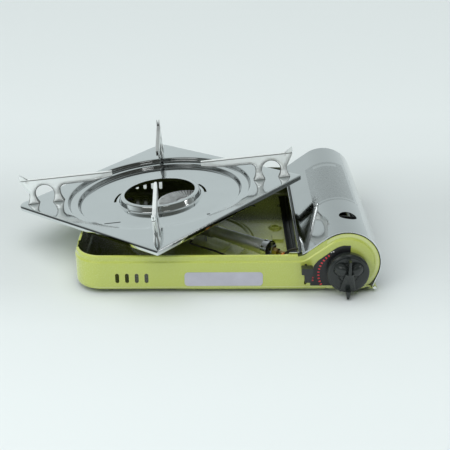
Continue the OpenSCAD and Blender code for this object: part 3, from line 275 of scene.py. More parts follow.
class Finish(Shades):
    """A material under construction, its Principled shader and its object coordinates."""

    def __init__(self, name, colour, roughness, metallic=0.0, **sockets):
        self.material = bpy.data.materials.new(name)
        self.material.use_nodes = True
        super().__init__(self.material.node_tree)
        self.shader = self.tree.nodes["Principled BSDF"]
        self.material.diffuse_color = (*colour, 1)
        self.set("Base Color", (*colour, 1))
        self.set("Roughness", roughness)
        self.set("Metallic", metallic)
        for socket, value in sockets.items():
            self.set(socket.replace("_", " "), value)
        self.place = self.node("ShaderNodeTexCoord", {}, [], "Object")

    def set(self, socket, value):
        """Sets or links a socket of the Principled shader."""
        into = self.shader.inputs[socket]
        if isinstance(value, Wire):
            self.tree.links.new(value.socket, into)
        else:
            into.default_value = value

    def axes(self):
        """The place in the body frame, in millimetres."""
        corner = HOME.to_translation()
        return [(part - corner[i]) * 1000.0 for i, part in enumerate(self.split(self.place))]

    def tray_axes(self):
        """The place in the tray's frame, in millimetres."""
        return self.split(self.node("ShaderNodeMapping", {"vector_type": "TEXTURE"}, {
            "Vector": self.place, "Location": ON_TRAY.to_translation(),
            "Rotation": ON_TRAY.to_euler(), "Scale": (MM, MM, MM)}))

    def facing(self):
        """The three parts of the surface's normal."""
        return self.split(self.node("ShaderNodeNewGeometry", {}, [], "Normal"))

    def stretch(self, scale):
        """The place, stretched along the axes."""
        return self.node("ShaderNodeMapping", {}, {"Vector": self.place, "Scale": scale})

    def noise(self, scale, detail=2.0, rough=0.5, at=None, warp=0.0):
        """Grey noise at the place, or at another vector."""
        return self.node("ShaderNodeTexNoise", {}, {"Vector": at or self.place, "Scale": scale,
                                                    "Detail": detail, "Roughness": rough,
                                                    "Distortion": warp})

    def bump(self, height, depth, under=None):
        """Normal of a height from 0 to 1 that is depth metres deep."""
        values = {"Height": height, "Distance": depth}
        if under:
            values["Normal"] = under
        return self.node("ShaderNodeBump", {}, values)


def scaled(colour, by):
    """A colour with all its parts multiplied."""
    return tuple(c * by for c in colour)


def distance(a, b):
    """Length of the flat vector of two wires."""
    return (a ** 2 + b ** 2).sqrt()


def dust(finish, amount, scale):
    """A value that wanders over the surface, by amount either way of 0."""
    return finish.noise(scale, 3.0, 0.6) * (2 * amount) - amount


# ---- materials ---------------------------------------------------------------------------------

# Painted colours: shade and highlight of the enamel, shade of the lead in the bay, highlight of the
# cover's front edge, and shade on the supports' edges, the tray's folds, the shield and the burner's
# rib grooves; the panel grey is the etched panel's own
ENAMEL_SHADE, ENAMEL_HIGHLIGHT = (0.036, 0.046, 0.009), (0.66, 0.70, 0.34)
LEAD_ORANGE, LEAD_SHADE = (0.62, 0.17, 0.03), (0.03, 0.03, 0.02)
PANEL_GREY, EDGE_HIGHLIGHT, EDGE_SHADE = (0.2, 0.21, 0.21), (0.9, 0.92, 0.92), (0.08, 0.085, 0.08)
TRAY_SHADE, SHADE_DARK, GROOVE_SHADE = (0.05, 0.055, 0.055), (0.05, 0.055, 0.05), (0.06, 0.06, 0.06)

# Plastics, prints, rubber and ceramic: colour, roughness and depth of the grain in millimetres
PLAIN = {
    "knob": ((0.017, 0.021, 0.020), 0.2, 0.02), "print": ((0.012, 0.013, 0.014), 0.3, 0.01),
    "rubber": ((0.03, 0.03, 0.03), 0.75, 0.08), "ceramic": ((0.78, 0.76, 0.70), 0.25, 0.02),
    "acetal": ((0.74, 0.73, 0.68), 0.4, 0.02), "lead": (LEAD_ORANGE, 0.42, 0.02),
    "plate": ((0.46, 0.46, 0.53), 0.36, 0.01), "red_mark": ((0.72, 0.035, 0.045), 0.4, 0.01),
    "white_mark": ((0.72, 0.72, 0.70), 0.4, 0.01),
}


def enamel_masks(finish):
    """Where the enamel has painted shade inside the pan, where it has any painted shade, and where it
    has painted highlights.
    """
    x, y, z = finish.axes()
    near_x = (LEFT_X + CORNER_R - x).at_least(0)
    near_y = (CORNER_R - y).at_least(y - (BODY_D - CORNER_R)).at_least(0)
    depth = CORNER_R - distance(near_x, near_y)
    wall = (z > RIM_H - BAND_H - 0.5) * BAND_IN + 0.8
    # Painted shade inside the pan, deeper towards the left and the back where the tray hangs over it,
    # on the inner back rim, and in the seam under the cover's edge
    bay = (depth > wall) * (x < SHIELD_X) * z.within(0.5, RIM_H - 0.3, 0.2)
    ledge = (depth > 0.8) * (x < SHIELD_X) * (y > BODY_D - 20) * (z > 30)
    left = finish.ramp((x - LEFT_X) / 300, (0.36, 0.85), (0.48, 0.05))
    back = finish.ramp(y / BODY_D, (0.59, 0.0), (0.7, 0.97))

    from_hump = distance(x - HUMP_X, z - HUMP_Z)
    past = x > HUMP_X + PANEL_R * FLANK_N[0]
    arch = from_hump.within(PANEL_R - 1.0, PANEL_R + 2, 0.2) * past
    fillet = distance(x - FILLET_X, z - FILLET_Z).within(FILLET_R - 2, FILLET_R + 0.9, 0.2)
    seam = (arch + fillet * (1 - past) * (x > FILLET_X)) * y.within(0.3, 9, 0.2)
    painted_shade = (bay * left.at_least(back)).at_least(seam).at_least(ledge)

    # Painted highlight lines round the hump and low along the front face
    rim = from_hump.within(PANEL_R - 4.6, PANEL_R - 2.4, 0.9) * past
    painted_highlight = z.within(4.6, 5.4, 0.5).at_least(rim) * (y < 1.5) * (1 - painted_shade) * 0.5
    return bay, painted_shade, painted_highlight


def enamel_finish(look):
    """Glossy enamel with a fine ripple, painted shade inside the pan and in the cover's seam, and
    painted highlight lines.
    """
    green = Finish("stove_enamel", look.colour, 0.2, Coat_Weight=1.0, Coat_Roughness=0.05,
                   Coat_IOR=1.55)
    tone = green.ramp(green.noise(9.0, 3.0, 0.55), (0.35, 0.0), (0.7, 1.0))
    coat = green.blend(tone, look.colour, scaled(look.colour, 0.93))
    bay, painted_shade, painted_highlight = enamel_masks(green)
    green.set("Base Color", green.blend(painted_highlight, green.blend(painted_shade, coat, ENAMEL_SHADE), ENAMEL_HIGHLIGHT))
    green.set("Roughness", green.ramp(green.noise(900.0, 2.0, 0.6), (0.3, 0.22), (0.7, 0.3)))
    green.set("Coat Weight", 1 - (painted_shade * 0.75).at_least(bay * 0.6))
    green.set("Normal", green.bump(green.noise(420.0), look.peel))
    return green


def steel_finish(name, colour, roughness, wave=0.0, grain=None, metal=1.0):
    """Sheet steel: smudges, faint waviness of the sheet, and fine rolling grain along an axis."""
    steel = Finish(name, colour, roughness, metal)
    smudge = steel.ramp(steel.noise(23.0, 4.0, 0.6, warp=0.4), (0.35, 0.0), (0.75, 1.0))
    steel.colour = steel.blend(smudge * 0.5, colour, scaled(colour, 0.93))
    steel.set("Base Color", steel.colour)
    steel.set("Roughness", smudge * 0.05 + (roughness + dust(steel, 0.015, 400.0)))
    normal = None
    if wave:
        normal = steel.bump(steel.noise(14.0, 1.0, 0.4), wave)
    if grain:
        lines = steel.noise(1.0, 2.0, 0.7, at=steel.stretch(grain))
        normal = steel.bump(lines, 0.004 * MM, under=normal)
    if normal:
        steel.set("Normal", normal)
    return steel


def cover_finish(look):
    """Polished sheet with a frosted panel between two bright bands, and a painted highlight along the
    front edge.
    """
    cover = steel_finish("polished_sheet", scaled(look.bright, 0.79), look.shine, wave=0.05 * MM)
    x, y, z = cover.axes()
    panel = x.within(103, 150, 0.5) * y.within(93, 219, 0.5) * (z > 40)
    etch = cover.noise(1.0, 3.0, 0.7, at=cover.stretch((500.0, 260.0, 1.0)))
    bands = y.within(97, 100, 0.4) + y.within(205, 212, 0.4) * x.within(112, 141, 0.4)
    frost = panel * (cover.ramp(etch, (0.35, 0.55), (0.65, 1.0)) - bands * 0.9)
    # A painted highlight along the cover's front edge
    edge = y.within(0, 2.4, 0.2)
    frosted = cover.blend(frost * 0.35, cover.colour, PANEL_GREY)
    cover.set("Base Color", cover.blend(edge, frosted, EDGE_HIGHLIGHT))
    cover.set("Roughness", frost * 0.22 + look.shine + edge * 0.2)
    return cover


def tray_shade_marks(finish):
    """Painted shade and dark reflections on the tray: its lip, the dish's walls, the collar's
    underside; and two dark dashes.
    """
    x, y, h = finish.tray_axes()
    # Painted dark reflections along the top of the lip and over the right front lip, on the dish's
    # walls towards the back, and painted shade under the collar
    lip = TRAY_SIDE / 2 - (abs(x) + abs(y)) * math.sqrt(0.5) < 1.0
    right = (y < 0) * (x > 0) * lip
    fold_shade = h.within(-2.4, -0.7, 0.3) * lip * (1 - right * 0.6)
    r = distance(x, y)
    walls = r.within(LEDGE_R - 3.8, LEDGE_R - 0.9, 0.5) + r.within(DISH_R - 3.8, DISH_R - 1.4, 0.5)
    walls = walls * 0.62 * y.within(-10, 200, 30)
    brim_shade = (r < 60) * (finish.facing()[2] < -0.05) * 0.9
    marks = fold_shade.at_least((h < -0.7) * right * 0.2).at_least(walls).at_least(brim_shade)
    for at, size in TRAY_DASHES:
        sides = [axis.within(middle - length / 2, middle + length / 2, 0.4)
                 for axis, middle, length in zip((x, y), at, size)]
        marks = marks.at_least(sides[0] * sides[1])
    return marks


def tray_finish(look):
    """Bright pressed plate with painted shade and dark reflections in its folds."""
    plate = steel_finish("pressed_plate", scaled(look.bright, 1.06), look.shine, wave=0.04 * MM)
    plate.set("Base Color", plate.blend(tray_shade_marks(plate), plate.colour, TRAY_SHADE))
    return plate


def support_shade_lines(finish):
    """Painted shade and dark reflections in thin lines along a support's top, arch, cove, outer edge
    and feet, and over the rear one's sides.
    """
    x, y, h = finish.tray_axes()
    r = distance(x, y)
    middle, under = (FOOT_IN + FOOT_OUT) / 2, SUPPORT_H - BAR_ROOT
    arch_r = middle - FOOT_IN - FOOT_W + BELL
    bell = (1 - h / BELL_H).at_least(0) ** BELL_CURVE * BELL
    arch = distance(r - middle, (h - (under + 2 - arch_r)).at_least(0)) - arch_r + bell
    rise = (TIP_R + BAR_TAPER - r).at_least(0) * ((BAR_ROOT - BAR_TIP) / BAR_TAPER)
    out, up = r - (FOOT_IN + BELL - COVE_R), h - rise - (under - COVE_R)
    cove = distance(out.at_least(0), up.at_least(0)) - COVE_R + bell
    heel = (FOOT_OUT - BELL + bell - r).within(-0.2, 0.6, 0.4) * h.within(-1, 13, 1.0)
    # Painted shade and dark reflection along the edges and feet; the last line paints shade over the
    # rear support's sides
    lines = arch.within(-0.3, 0.6, 0.4).at_least(cove.within(-0.3, 0.6, 0.4)).at_least(heel)
    lines = lines.at_least(h.within(SUPPORT_H - 1.7, SUPPORT_H - 0.7, 0.2))
    lines = lines.at_least(h.within(-0.5, 0.3, 0.2))
    return lines.at_least((y > 40) * (abs(finish.facing()[0]) < 0.8) * 0.8)


def support_finish():
    """Pale satin sheet with painted shade along its edges."""
    wall = steel_finish("support_sheet", (0.91, 0.95, 0.945), 0.3, grain=(700.0, 700.0, 90.0),
                        metal=0.4)
    wall.set("Base Color", wall.blend(support_shade_lines(wall) * 0.8, wall.colour, EDGE_SHADE))
    return wall


def shield_finish():
    """Rolled sheet with painted shade on its wall and along the right of its folded top."""
    screen = steel_finish("shield_sheet", (0.66, 0.68, 0.68), 0.14, grain=(1200.0, 60.0, 1200.0))
    x, _, z = screen.axes()
    # Painted shade on the wall and along the right of the folded top
    shaded = (z < SHIELD_H - 1.6).at_least(x.within(SHIELD_X - 2.7, SHIELD_X + 0.2, 0.1))
    screen.set("Base Color", screen.blend(shaded, screen.colour, SHADE_DARK))
    return screen


def cast_finish():
    """Grainy cast alloy."""
    cast = Finish("cast_alloy", (0.42, 0.43, 0.44), 0.5, 1.0)
    grit = cast.noise(1400.0, 3.0, 0.7)
    cast.set("Roughness", cast.ramp(grit, (0.3, 0.42), (0.7, 0.6)))
    cast.set("Normal", cast.bump(grit, 0.05 * MM))
    return cast


def head_finish():
    """The burner cap's pale alloy, mottled with soot, with painted shade between its ribs."""
    head = Finish("burner_alloy", (0.70, 0.72, 0.72), 0.36, 0.8)
    soot = head.noise(160.0, 4.0, 0.65)
    x, y, _ = head.axes()
    x, y = x - BURNER[0], y - BURNER[1]
    # Painted shade in the grooves between the ribs
    groove_shade = (y.turn(x) * RIB_COUNT).wave() < -0.1
    groove_shade = groove_shade * distance(x, y).within(RIB_IN - 1, CAP_R - 3, 1)
    tone = head.ramp(soot, (0.4, 0.0), (0.7, 1.0))
    alloy = head.blend(tone, (0.82, 0.84, 0.84), (0.62, 0.63, 0.63))
    head.set("Base Color", head.blend(groove_shade * 0.8, alloy, GROOVE_SHADE))
    head.set("Roughness", head.ramp(soot, (0.3, 0.3), (0.7, 0.45)))
    head.set("Normal", head.bump(head.noise(1100.0), 0.03 * MM))
    return head


def brass_finish():
    """Turned brass, faintly rough."""
    brass = Finish("turned_brass", (0.50, 0.37, 0.15), 0.3, 1.0)
    brass.set("Roughness", 0.28 + dust(brass, 0.06, 300.0))
    brass.set("Normal", brass.bump(brass.noise(1500.0), 0.01 * MM))
    return brass


def plain_finish(name, colour, rough, depth):
    """An even colour that varies a little, with a fine grain."""
    plain = Finish("stove_" + name, colour, rough)
    shade = plain.ramp(plain.noise(70.0, 3.0), (0.35, 0.0), (0.7, 1.0))
    paler = tuple(min(1, c * 1.12 + 0.002) for c in colour)
    plain.set("Base Color", plain.blend(shade, colour, paler))
    plain.set("Roughness", rough + dust(plain, 0.05, 500.0))
    plain.set("Normal", plain.bump(plain.noise(1300.0, 3.0, 0.65), depth * MM))
    return plain


def shade_lead(lead):
    """Keeps the ignition lead orange beside the gas jet and paints shade along the rest of it."""
    # Painted shade on the lead where it runs through the shaded inside of the pan
    lit_part = lead.axes()[0].within(50, 64, 2)
    lead.set("Base Color", lead.blend(lit_part, LEAD_SHADE, LEAD_ORANGE))


def finishes(looks):
    """Every material of the stove, by name."""
    steel = looks["steel"]
    made = {
        "enamel": enamel_finish(looks["enamel"]), "mirror": cover_finish(steel),
        "tray": tray_finish(steel), "support": support_finish(), "shield": shield_finish(),
        # A dark copy of the plated steel, painted shade for the parts deep in the cartridge bay
        "bay": steel_finish("bay_sheet", (0.16, 0.165, 0.165), 0.35, grain=(300.0, 300.0, 300.0)),
        "zinc": steel_finish("zinc_plate", (0.55, 0.57, 0.57), 0.28, grain=(300.0, 300.0, 300.0)),
        "tube": steel_finish("drawn_tube", (0.72, 0.74, 0.73), 0.42, grain=(500.0, 500.0, 500.0)),
        "chrome": steel_finish("chrome_ring", (0.80, 0.83, 0.86), 0.08),
        "cast": cast_finish(), "head": head_finish(), "brass": brass_finish(),
    }
    for name, (colour, rough, depth) in PLAIN.items():
        made[name] = plain_finish(name, colour, rough, depth)
    shade_lead(made["lead"])
    return {name: finish.material for name, finish in made.items()}


# ---- mesh work ---------------------------------------------------------------------------------

def arc(cx, cy, r, start, end, steps):
    """Points on an arc, angles in radians."""
    return [(cx + r * math.cos(start + (end - start) * i / steps),
             cy + r * math.sin(start + (end - start) * i / steps)) for i in range(steps + 1)]


def circle(x, y, r, steps=32):
    """A closed loop round a centre, anticlockwise."""
    return [(x + r * math.cos(2 * math.pi * k / steps), y + r * math.sin(2 * math.pi * k / steps))
            for k in range(steps)]


def slot_loop(x, z, width, height):
    """A standing slot with round ends, anticlockwise."""
    r = width / 2
    up, down = z + height / 2 - r, z - height / 2 + r
    return arc(x, up, r, 0, math.pi, 10) + arc(x, down, r, math.pi, 2 * math.pi, 10)


def rounded(corners, steps=4):
    """A line of (x, y, radius) corners with each corner rounded."""
    line = []
    for i, (x, y, r) in enumerate(corners):
        here = Vector((x, y))
        if not r or i in (0, len(corners) - 1):
            line.append((x, y))
            continue
        back = Vector(corners[i - 1][:2]) - here
        ahead = Vector(corners[i + 1][:2]) - here
        half = back.angle(ahead) / 2
        reach = min(r / math.tan(half), 0.48 * back.length, 0.48 * ahead.length)
        start, end = here + back.normalized() * reach, here + ahead.normalized() * reach
        for k in range(steps + 1):
            t = k / steps
            line.append(tuple((1 - t) ** 2 * start + 2 * t * (1 - t) * here + t * t * end))
    return line


def smooth_line(points, per=8):
    """Catmull-Rom line through points."""
    line, n = [], len(points)
    for i in range(n - 1):
        p = [Vector(points[k]) for k in (max(i - 1, 0), i, i + 1, min(i + 2, n - 1))]
        for j in range(per):
            t = j / per
            line.append(0.5 * (2 * p[1] + (p[2] - p[0]) * t
                               + (2 * p[0] - 5 * p[1] + 4 * p[2] - p[3]) * t * t
                               + (3 * p[1] - p[0] - 3 * p[2] + p[3]) * t ** 3))
    return line + [Vector(points[-1])]


def resampled(line, spacing):
    """Points evenly along a flat line, about spacing apart."""
    lengths = [0.0]
    for a, b in zip(line, line[1:]):
        lengths.append(lengths[-1] + math.dist(a, b))
    n = max(2, round(lengths[-1] / spacing))
    points, i = [], 0
    for k in range(n + 1):
        s = lengths[-1] * k / n
        while i < len(line) - 2 and lengths[i + 1] < s:
            i += 1
        t = (s - lengths[i]) / (lengths[i + 1] - lengths[i])
        points.append((line[i][0] + (line[i + 1][0] - line[i][0]) * t,
                       line[i][1] + (line[i + 1][1] - line[i][1]) * t))
    return points


def raised(line, by):
    """A flat line moved sideways, to the left of its own direction."""
    out = []
    for i, (x, z) in enumerate(line):
        a, b = line[max(i - 1, 0)], line[min(i + 1, len(line) - 1)]
        dx, dz = b[0] - a[0], b[1] - a[1]
        length = math.hypot(dx, dz)
        out.append((x - dz / length * by, z + dx / length * by))
    return out


def shifted(loop, inset):
    """A closed loop moved inwards by inset, for a loop that runs anticlockwise."""
    n, moved = len(loop), []
    for i in range(n):
        before, here, after = Vector(loop[i - 1]), Vector(loop[i]), Vector(loop[(i + 1) % n])
        a, b = (here - before).normalized(), (after - here).normalized()
        left = Vector((-a.y, a.x)) + Vector((-b.y, b.x))
        left.normalize()
        along = max(0.5, left.dot(Vector((-a.y, a.x))))
        moved.append(tuple(here + left * (inset / along)))
    return moved


def inside(point, loop):
    """Whether a flat point lies inside a closed loop."""
    x, y = point
    odd = False
    for i in range(len(loop)):
        (x0, y0), (x1, y1) = loop[i - 1], loop[i]
        if (y0 > y) != (y1 > y) and x < (x1 - x0) * (y - y0) / (y1 - y0) + x0:
            odd = not odd
    return odd


def netted(outline, spacing):
    """Triangles that fill an outline, over an even net of points that keeps clear of its edge."""
    border = [Vector(p) for p in outline]
    points = list(border)
    edges = [(i, (i + 1) % len(outline)) for i in range(len(outline))]
    xs, ys = [p[0] for p in outline], [p[1] for p in outline]
    for j in range(int((max(ys) - min(ys)) / spacing) + 1):
        for i in range(int((max(xs) - min(xs)) / spacing) + 1):
            p = Vector((min(xs) + (i + 0.5) * spacing, min(ys) + (j + 0.5) * spacing))
            if inside(p, outline) and all((b - p).length > spacing * 0.4 for b in border):
                points.append(p)
    verts, _, faces, *_ = delaunay_2d_cdt(points, edges, [], 1, 1e-5)
    kept = []
    for face in faces:
        middle = sum((verts[i] for i in face), Vector((0, 0))) / len(face)
        if inside(middle, outline):
            kept.append(tuple(face))
    return [tuple(v) for v in verts], kept


def lofted(rows, wrap=False, ring=False):
    """Points and faces through rows of points: wrap closes each row, ring joins last to first."""
    n = len(rows[0])
    points = [tuple(p) for row in rows for p in row]
    faces = []
    for i in range(len(rows) if ring else len(rows) - 1):
        a, b = i * n, (i + 1) % len(rows) * n
        for k in range(n if wrap else n - 1):
            j = (k + 1) % n
            faces.append((a + k, a + j, b + j, b + k))
    return points, faces


def turned(profile, steps=96, axis="Z", at=(0, 0, 0)):
    """A profile of (radius, height) turned about Z, or about the axis towards the front, at a place."""
    rows = []
    for k in range(steps):
        a = 2 * math.pi * k / steps
        c, s = math.cos(a), math.sin(a)
        if axis == "Z":
            rows.append([(at[0] + r * c, at[1] + r * s, at[2] + h) for r, h in profile])
        else:
            rows.append([(at[0] + r * c, at[1] - h, at[2] + r * s) for r, h in profile])
    return lofted(rows, ring=True)


def block(low, high):
    """The eight corners and six faces of a box."""
    points = [(x, y, z) for x in (low[0], high[0]) for y in (low[1], high[1])
              for z in (low[2], high[2])]
    return points, [(0, 1, 3, 2), (4, 6, 7, 5), (0, 4, 5, 1), (2, 3, 7, 6), (0, 2, 6, 4), (1, 5, 7, 3)]


def lying(x, y, h):
    """A loop in the floor's plane, drawn upwards."""
    return x, y, h


def facing(x, z, h):
    """A loop in the front panel's plane, drawn backwards."""
    return x, h, z


def sideways(y, z, h):
    """A loop in the side wall's plane, drawn to the right."""
    return h, y, z


def prism(loop, depth, place):
    """A closed solid from a flat loop; place turns (x, y, height) into a point."""
    n = len(loop)
    points = [place(x, y, depth[0]) for x, y in loop] + [place(x, y, depth[1]) for x, y in loop]
    tops = tessellate_polygon([[Vector((x, y, 0)) for x, y in loop]])
    faces = [tuple(t) for t in tops] + [tuple(i + n for i in reversed(t)) for t in tops]
    faces += [(i, (i + 1) % n, (i + 1) % n + n, i + n) for i in range(n)]
    return points, faces


def joined(*parts):
    """Several shapes of points and faces as one."""
    points, faces = [], []
    for more, shapes in parts:
        base = len(points)
        points += more
        faces += [tuple(base + i for i in face) for face in shapes]
    return points, faces


def mesh_of(name, shape, matrix=HOME, merge=0.001, outwards=True):
    """A mesh in the frame's metres from points in millimetres, doubles merged, faces outwards."""
    mesh = bpy.data.meshes.new(name)
    mesh.from_pydata([tuple(p) for p in shape[0]], [], shape[1])
    sheet = bmesh.new()
    sheet.from_mesh(mesh)
    if merge:
        bmesh.ops.remove_doubles(sheet, verts=sheet.verts, dist=merge)
    bmesh.ops.dissolve_degenerate(sheet, edges=sheet.edges, dist=1e-6)
    if outwards:
        bmesh.ops.recalc_face_normals(sheet, faces=sheet.faces)
    sheet.transform(matrix)
    sheet.to_mesh(mesh)
    sheet.free()
    return mesh


def line_mesh(name, points, axes=None):
    """A mesh of points in the body frame, joined in a line, or loose with an axis each."""
    mesh = bpy.data.meshes.new(name)
    edges = [] if axes else [(i, i + 1) for i in range(len(points) - 1)]
    mesh.from_pydata([tuple(HOME @ Vector(p)) for p in points], edges, [])
    if axes:
        made = mesh.attributes.new("axis", "FLOAT_VECTOR", "POINT")
        for i, a in enumerate(axes):
            made.data[i].vector = a
    return mesh


def linked(name, data):
    """A new object in the scene."""
    made = bpy.data.objects.new(name, data)
    bpy.context.scene.collection.objects.link(made)
    return made


def crease(mesh, angle=32.0):
    """Smooth shading with sharp edges past an angle."""
    sheet = bmesh.new()
    sheet.from_mesh(mesh)
    for face in sheet.faces:
        face.smooth = True
    limit = math.radians(angle)
    for edge in sheet.edges:
        edge.smooth = not (len(edge.link_faces) == 2 and edge.calc_face_angle(0) > limit)
    sheet.to_mesh(mesh)
    sheet.free()


def settle(piece):
    """Turns a piece's evaluated shape into its own plain mesh and removes its modifiers."""
    shape = bpy.data.meshes.new_from_object(
        piece.evaluated_get(bpy.context.evaluated_depsgraph_get()))
    piece.modifiers.clear()
    piece.data = shape


def placed(piece, body, replaces=()):
    """Gives a piece its body, and hides the nodes it stands in for."""
    if replaces:
        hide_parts(*replaces)
    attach(piece, body)


def make_piece(name, mesh, material, body, replaces=(), angle=32.0, weighted=True, cutters=(),
               thick=0.0, bevel=0.0):
    """Makes a piece from a mesh: thickness, cuts, bevel, edge shading, material and body."""
    piece = linked(name, mesh)
    if thick:
        wall = piece.modifiers.new("wall", "SOLIDIFY")
        wall.thickness, wall.offset, wall.use_even_offset = thick * MM, -1, True
        settle(piece)
    for cutter in cutters:
        knife = linked(name + "_knife", cutter)
        cut = piece.modifiers.new("cut", "BOOLEAN")
        cut.operation, cut.solver, cut.object = "DIFFERENCE", "EXACT", knife
        settle(piece)
        bpy.data.objects.remove(knife)
    if bevel:
        soft = piece.modifiers.new("edge", "BEVEL")
        soft.width, soft.segments, soft.limit_method = bevel * MM, 2, "ANGLE"
        soft.angle_limit = math.radians(40)
        settle(piece)
    crease(piece.data, angle)
    if weighted:
        even = piece.modifiers.new("shade", "WEIGHTED_NORMAL")
        even.keep_sharp = True
        settle(piece)
    piece.data.name = name
    piece.data.materials.clear()
    piece.data.materials.append(material)
    placed(piece, body, replaces)


# ---- geometry nodes ----------------------------------------------------------------------------

class Recipe:
    """A Geometry Nodes tree built in words, with named inputs."""

    def __init__(self, name, inputs):
        self.tree = bpy.data.node_groups.new(name, "GeometryNodeTree")
        face = self.tree.interface
        face.new_socket("Geometry", in_out="OUTPUT", socket_type="NodeSocketGeometry")
        face.new_socket("Geometry", in_out="INPUT", socket_type="NodeSocketGeometry")
        self.keys = {}
        for label, kind, value in inputs:
            made = face.new_socket(label, in_out="INPUT", socket_type="NodeSocket" + kind)
            if value is not None:
                made.default_value = value
            self.keys[label] = made.identifier
        self.inlet = self.tree.nodes.new("NodeGroupInput")

    def given(self, label):
        """The socket of a named input."""
        return self.inlet.outputs[label]

    def node(self, kind, settings, values, output=0):
        """Adds a node, sets it up, fills its sockets by name, and gives one output."""
        made = self.tree.nodes.new(kind)
        for key, value in settings.items():
            setattr(made, key, value)
        for key, value in values.items():
            if isinstance(value, bpy.types.NodeSocket):
                self.tree.links.new(value, made.inputs[key])
            else:
                made.inputs[key].default_value = value
        return made.outputs[output]

    def end(self, geometry, material):
        """Finishes the tree with Realize Instances and Set Material."""
        real = self.node("GeometryNodeRealizeInstances", {}, {"Geometry": geometry})
        done = self.node("GeometryNodeSetMaterial", {}, {"Geometry": real, "Material": material})
        outlet = self.tree.nodes.new("NodeGroupOutput")
        self.tree.links.new(done, outlet.inputs[0])

    def run(self, name, mesh, values):
        """An object with the tree's result, as a plain shaded mesh."""
        piece = linked(name, mesh)
        made = piece.modifiers.new("recipe", "NODES")
        made.node_group = self.tree
        for label, value in values.items():
            made[self.keys[label]] = value
        settle(piece)
        crease(piece.data, 35.0)
        return piece


def tube_recipe(material):
    """Sweeps a round section along a line."""
    made = Recipe("swept_tube", [("Radius", "Float", 0.001), ("Sides", "Int", 16)])
    curve = made.node("GeometryNodeMeshToCurve", {}, {"Mesh": made.given("Geometry")})
    section = made.node("GeometryNodeCurvePrimitiveCircle", {}, {
        "Resolution": made.given("Sides"), "Radius": made.given("Radius")})
    tube = made.node("GeometryNodeCurveToMesh", {}, {"Curve": curve, "Profile Curve": section,
                                                     "Fill Caps": True})
    made.end(made.node("GeometryNodeSetShadeSmooth", {}, {"Geometry": tube}), material)
    return made


def heads_recipe(material):
    """Puts a copy of one head on every point, turned to the point's own axis."""
    made = Recipe("heads_on_points", [("Head", "Object", None)])
    head = made.node("GeometryNodeObjectInfo", {}, {"Object": made.given("Head")}, "Geometry")
    axis = made.node("GeometryNodeInputNamedAttribute", {"data_type": "FLOAT_VECTOR"},
                     {"Name": "axis"})
    turn = made.node("FunctionNodeAlignRotationToVector", {"axis": "Z"}, {"Vector": axis})
    many = made.node("GeometryNodeInstanceOnPoints", {}, {"Points": made.given("Geometry"),
                                                          "Instance": head, "Rotation": turn})
    made.end(many, material)
    return made


def ring_recipe(material):
    """Adds copies of one part round a centre, a step apart from a start angle, to the mesh given."""
    made = Recipe("parts_in_ring", [("Part", "Object", None), ("Count", "Int", 12),
                                    ("Centre", "Vector", (0, 0, 0)), ("Start", "Float", 0.0),
                                    ("Step", "Float", 0.1), ("Axis", "Vector", (0, 0, 1))])
    part = made.node("GeometryNodeObjectInfo", {}, {"Object": made.given("Part")}, "Geometry")
    points = made.node("GeometryNodePoints", {}, {"Count": made.given("Count"),
                                                  "Position": made.given("Centre")})
    index = made.node("GeometryNodeInputIndex", {}, {})
    many = made.node("ShaderNodeMath", {"operation": "MULTIPLY"}, {0: index, 1: made.given("Step")})
    angle = made.node("ShaderNodeMath", {"operation": "ADD"}, {0: many, 1: made.given("Start")})
    turn = made.node("FunctionNodeAxisAngleToRotation", {}, {"Axis": made.given("Axis"),
                                                             "Angle": angle})
    ring = made.node("GeometryNodeInstanceOnPoints", {}, {"Points": points, "Instance": part,
                                                          "Rotation": turn})
    both = made.tree.nodes.new("GeometryNodeJoinGeometry")
    made.tree.links.new(made.given("Geometry"), both.inputs[0])
    made.tree.links.new(ring, both.inputs[0])
    made.end(both.outputs[0], material)
    return made


def spare(name, shape):
    """A part that a recipe copies; it is removed afterwards."""
    mesh = mesh_of(name, shape, METRES)
    crease(mesh)
    return linked(name, mesh)


# ---- the pan -----------------------------------------------------------------------------------

def skirt_x(inset, z):
    """Where the sloping right side of the hump lies at a height, moved inwards by inset."""
    return (HUMP_X + (PANEL_R - inset) / math.cos(SKIRT)
            - (HUMP_Z - z) * math.tan(SKIRT))


FLOOR_RIGHT = skirt_x(0, 0)


def front_stations():
    """Points of an end panel's edge with their normals, from the left corner to the skirt's top."""
    start = LEFT_X + CORNER_R
    rows = [(start + (FILLET_X - start) * k / 12, RIM_H, 0.0, 1.0) for k in range(12)]
    down = math.radians(270)
    for k in range(13):
        a = down + (FLANK + math.pi - down) * k / 12
        rows.append((FILLET_X + FILLET_R * math.cos(a), FILLET_Z + FILLET_R * math.sin(a),
                     -math.cos(a), -math.sin(a)))
    for k in range(57):
        a = FLANK + (-SKIRT - FLANK) * k / 56
        rows.append((HUMP_X + PANEL_R * math.cos(a), HUMP_Z + PANEL_R * math.sin(a),
                     math.cos(a), math.sin(a)))
    return rows


def curl():
    """A quarter of the bottom edge's roll, as (inset, height) points from the wall to the floor."""
    turns = [math.radians(a) for a in range(0, 91, 10)]
    return [(BOTTOM_R - BOTTOM_R * math.cos(a), BOTTOM_R - BOTTOM_R * math.sin(a)) for a in turns]


def rim_profile(edge, flange, to_floor=False):
    """Section of the rim and the band under it, as (drop, inset) points, or on down to the floor."""
    step = edge * 0.8
    line = [(0.0, BAND_IN + flange, 0), (0.0, BAND_IN, edge), (BAND_H - 0.7, BAND_IN, step),
            (BAND_H + 0.7, 0.0, step), (BAND_H + 4.0, 0.0, 0)]
    if to_floor:
        line.append((RIM_H - BOTTOM_R - 0.5, 0.0, 0))
        line += [(RIM_H - height, inset, 0) for inset, height in curl()]
    return rounded(line)


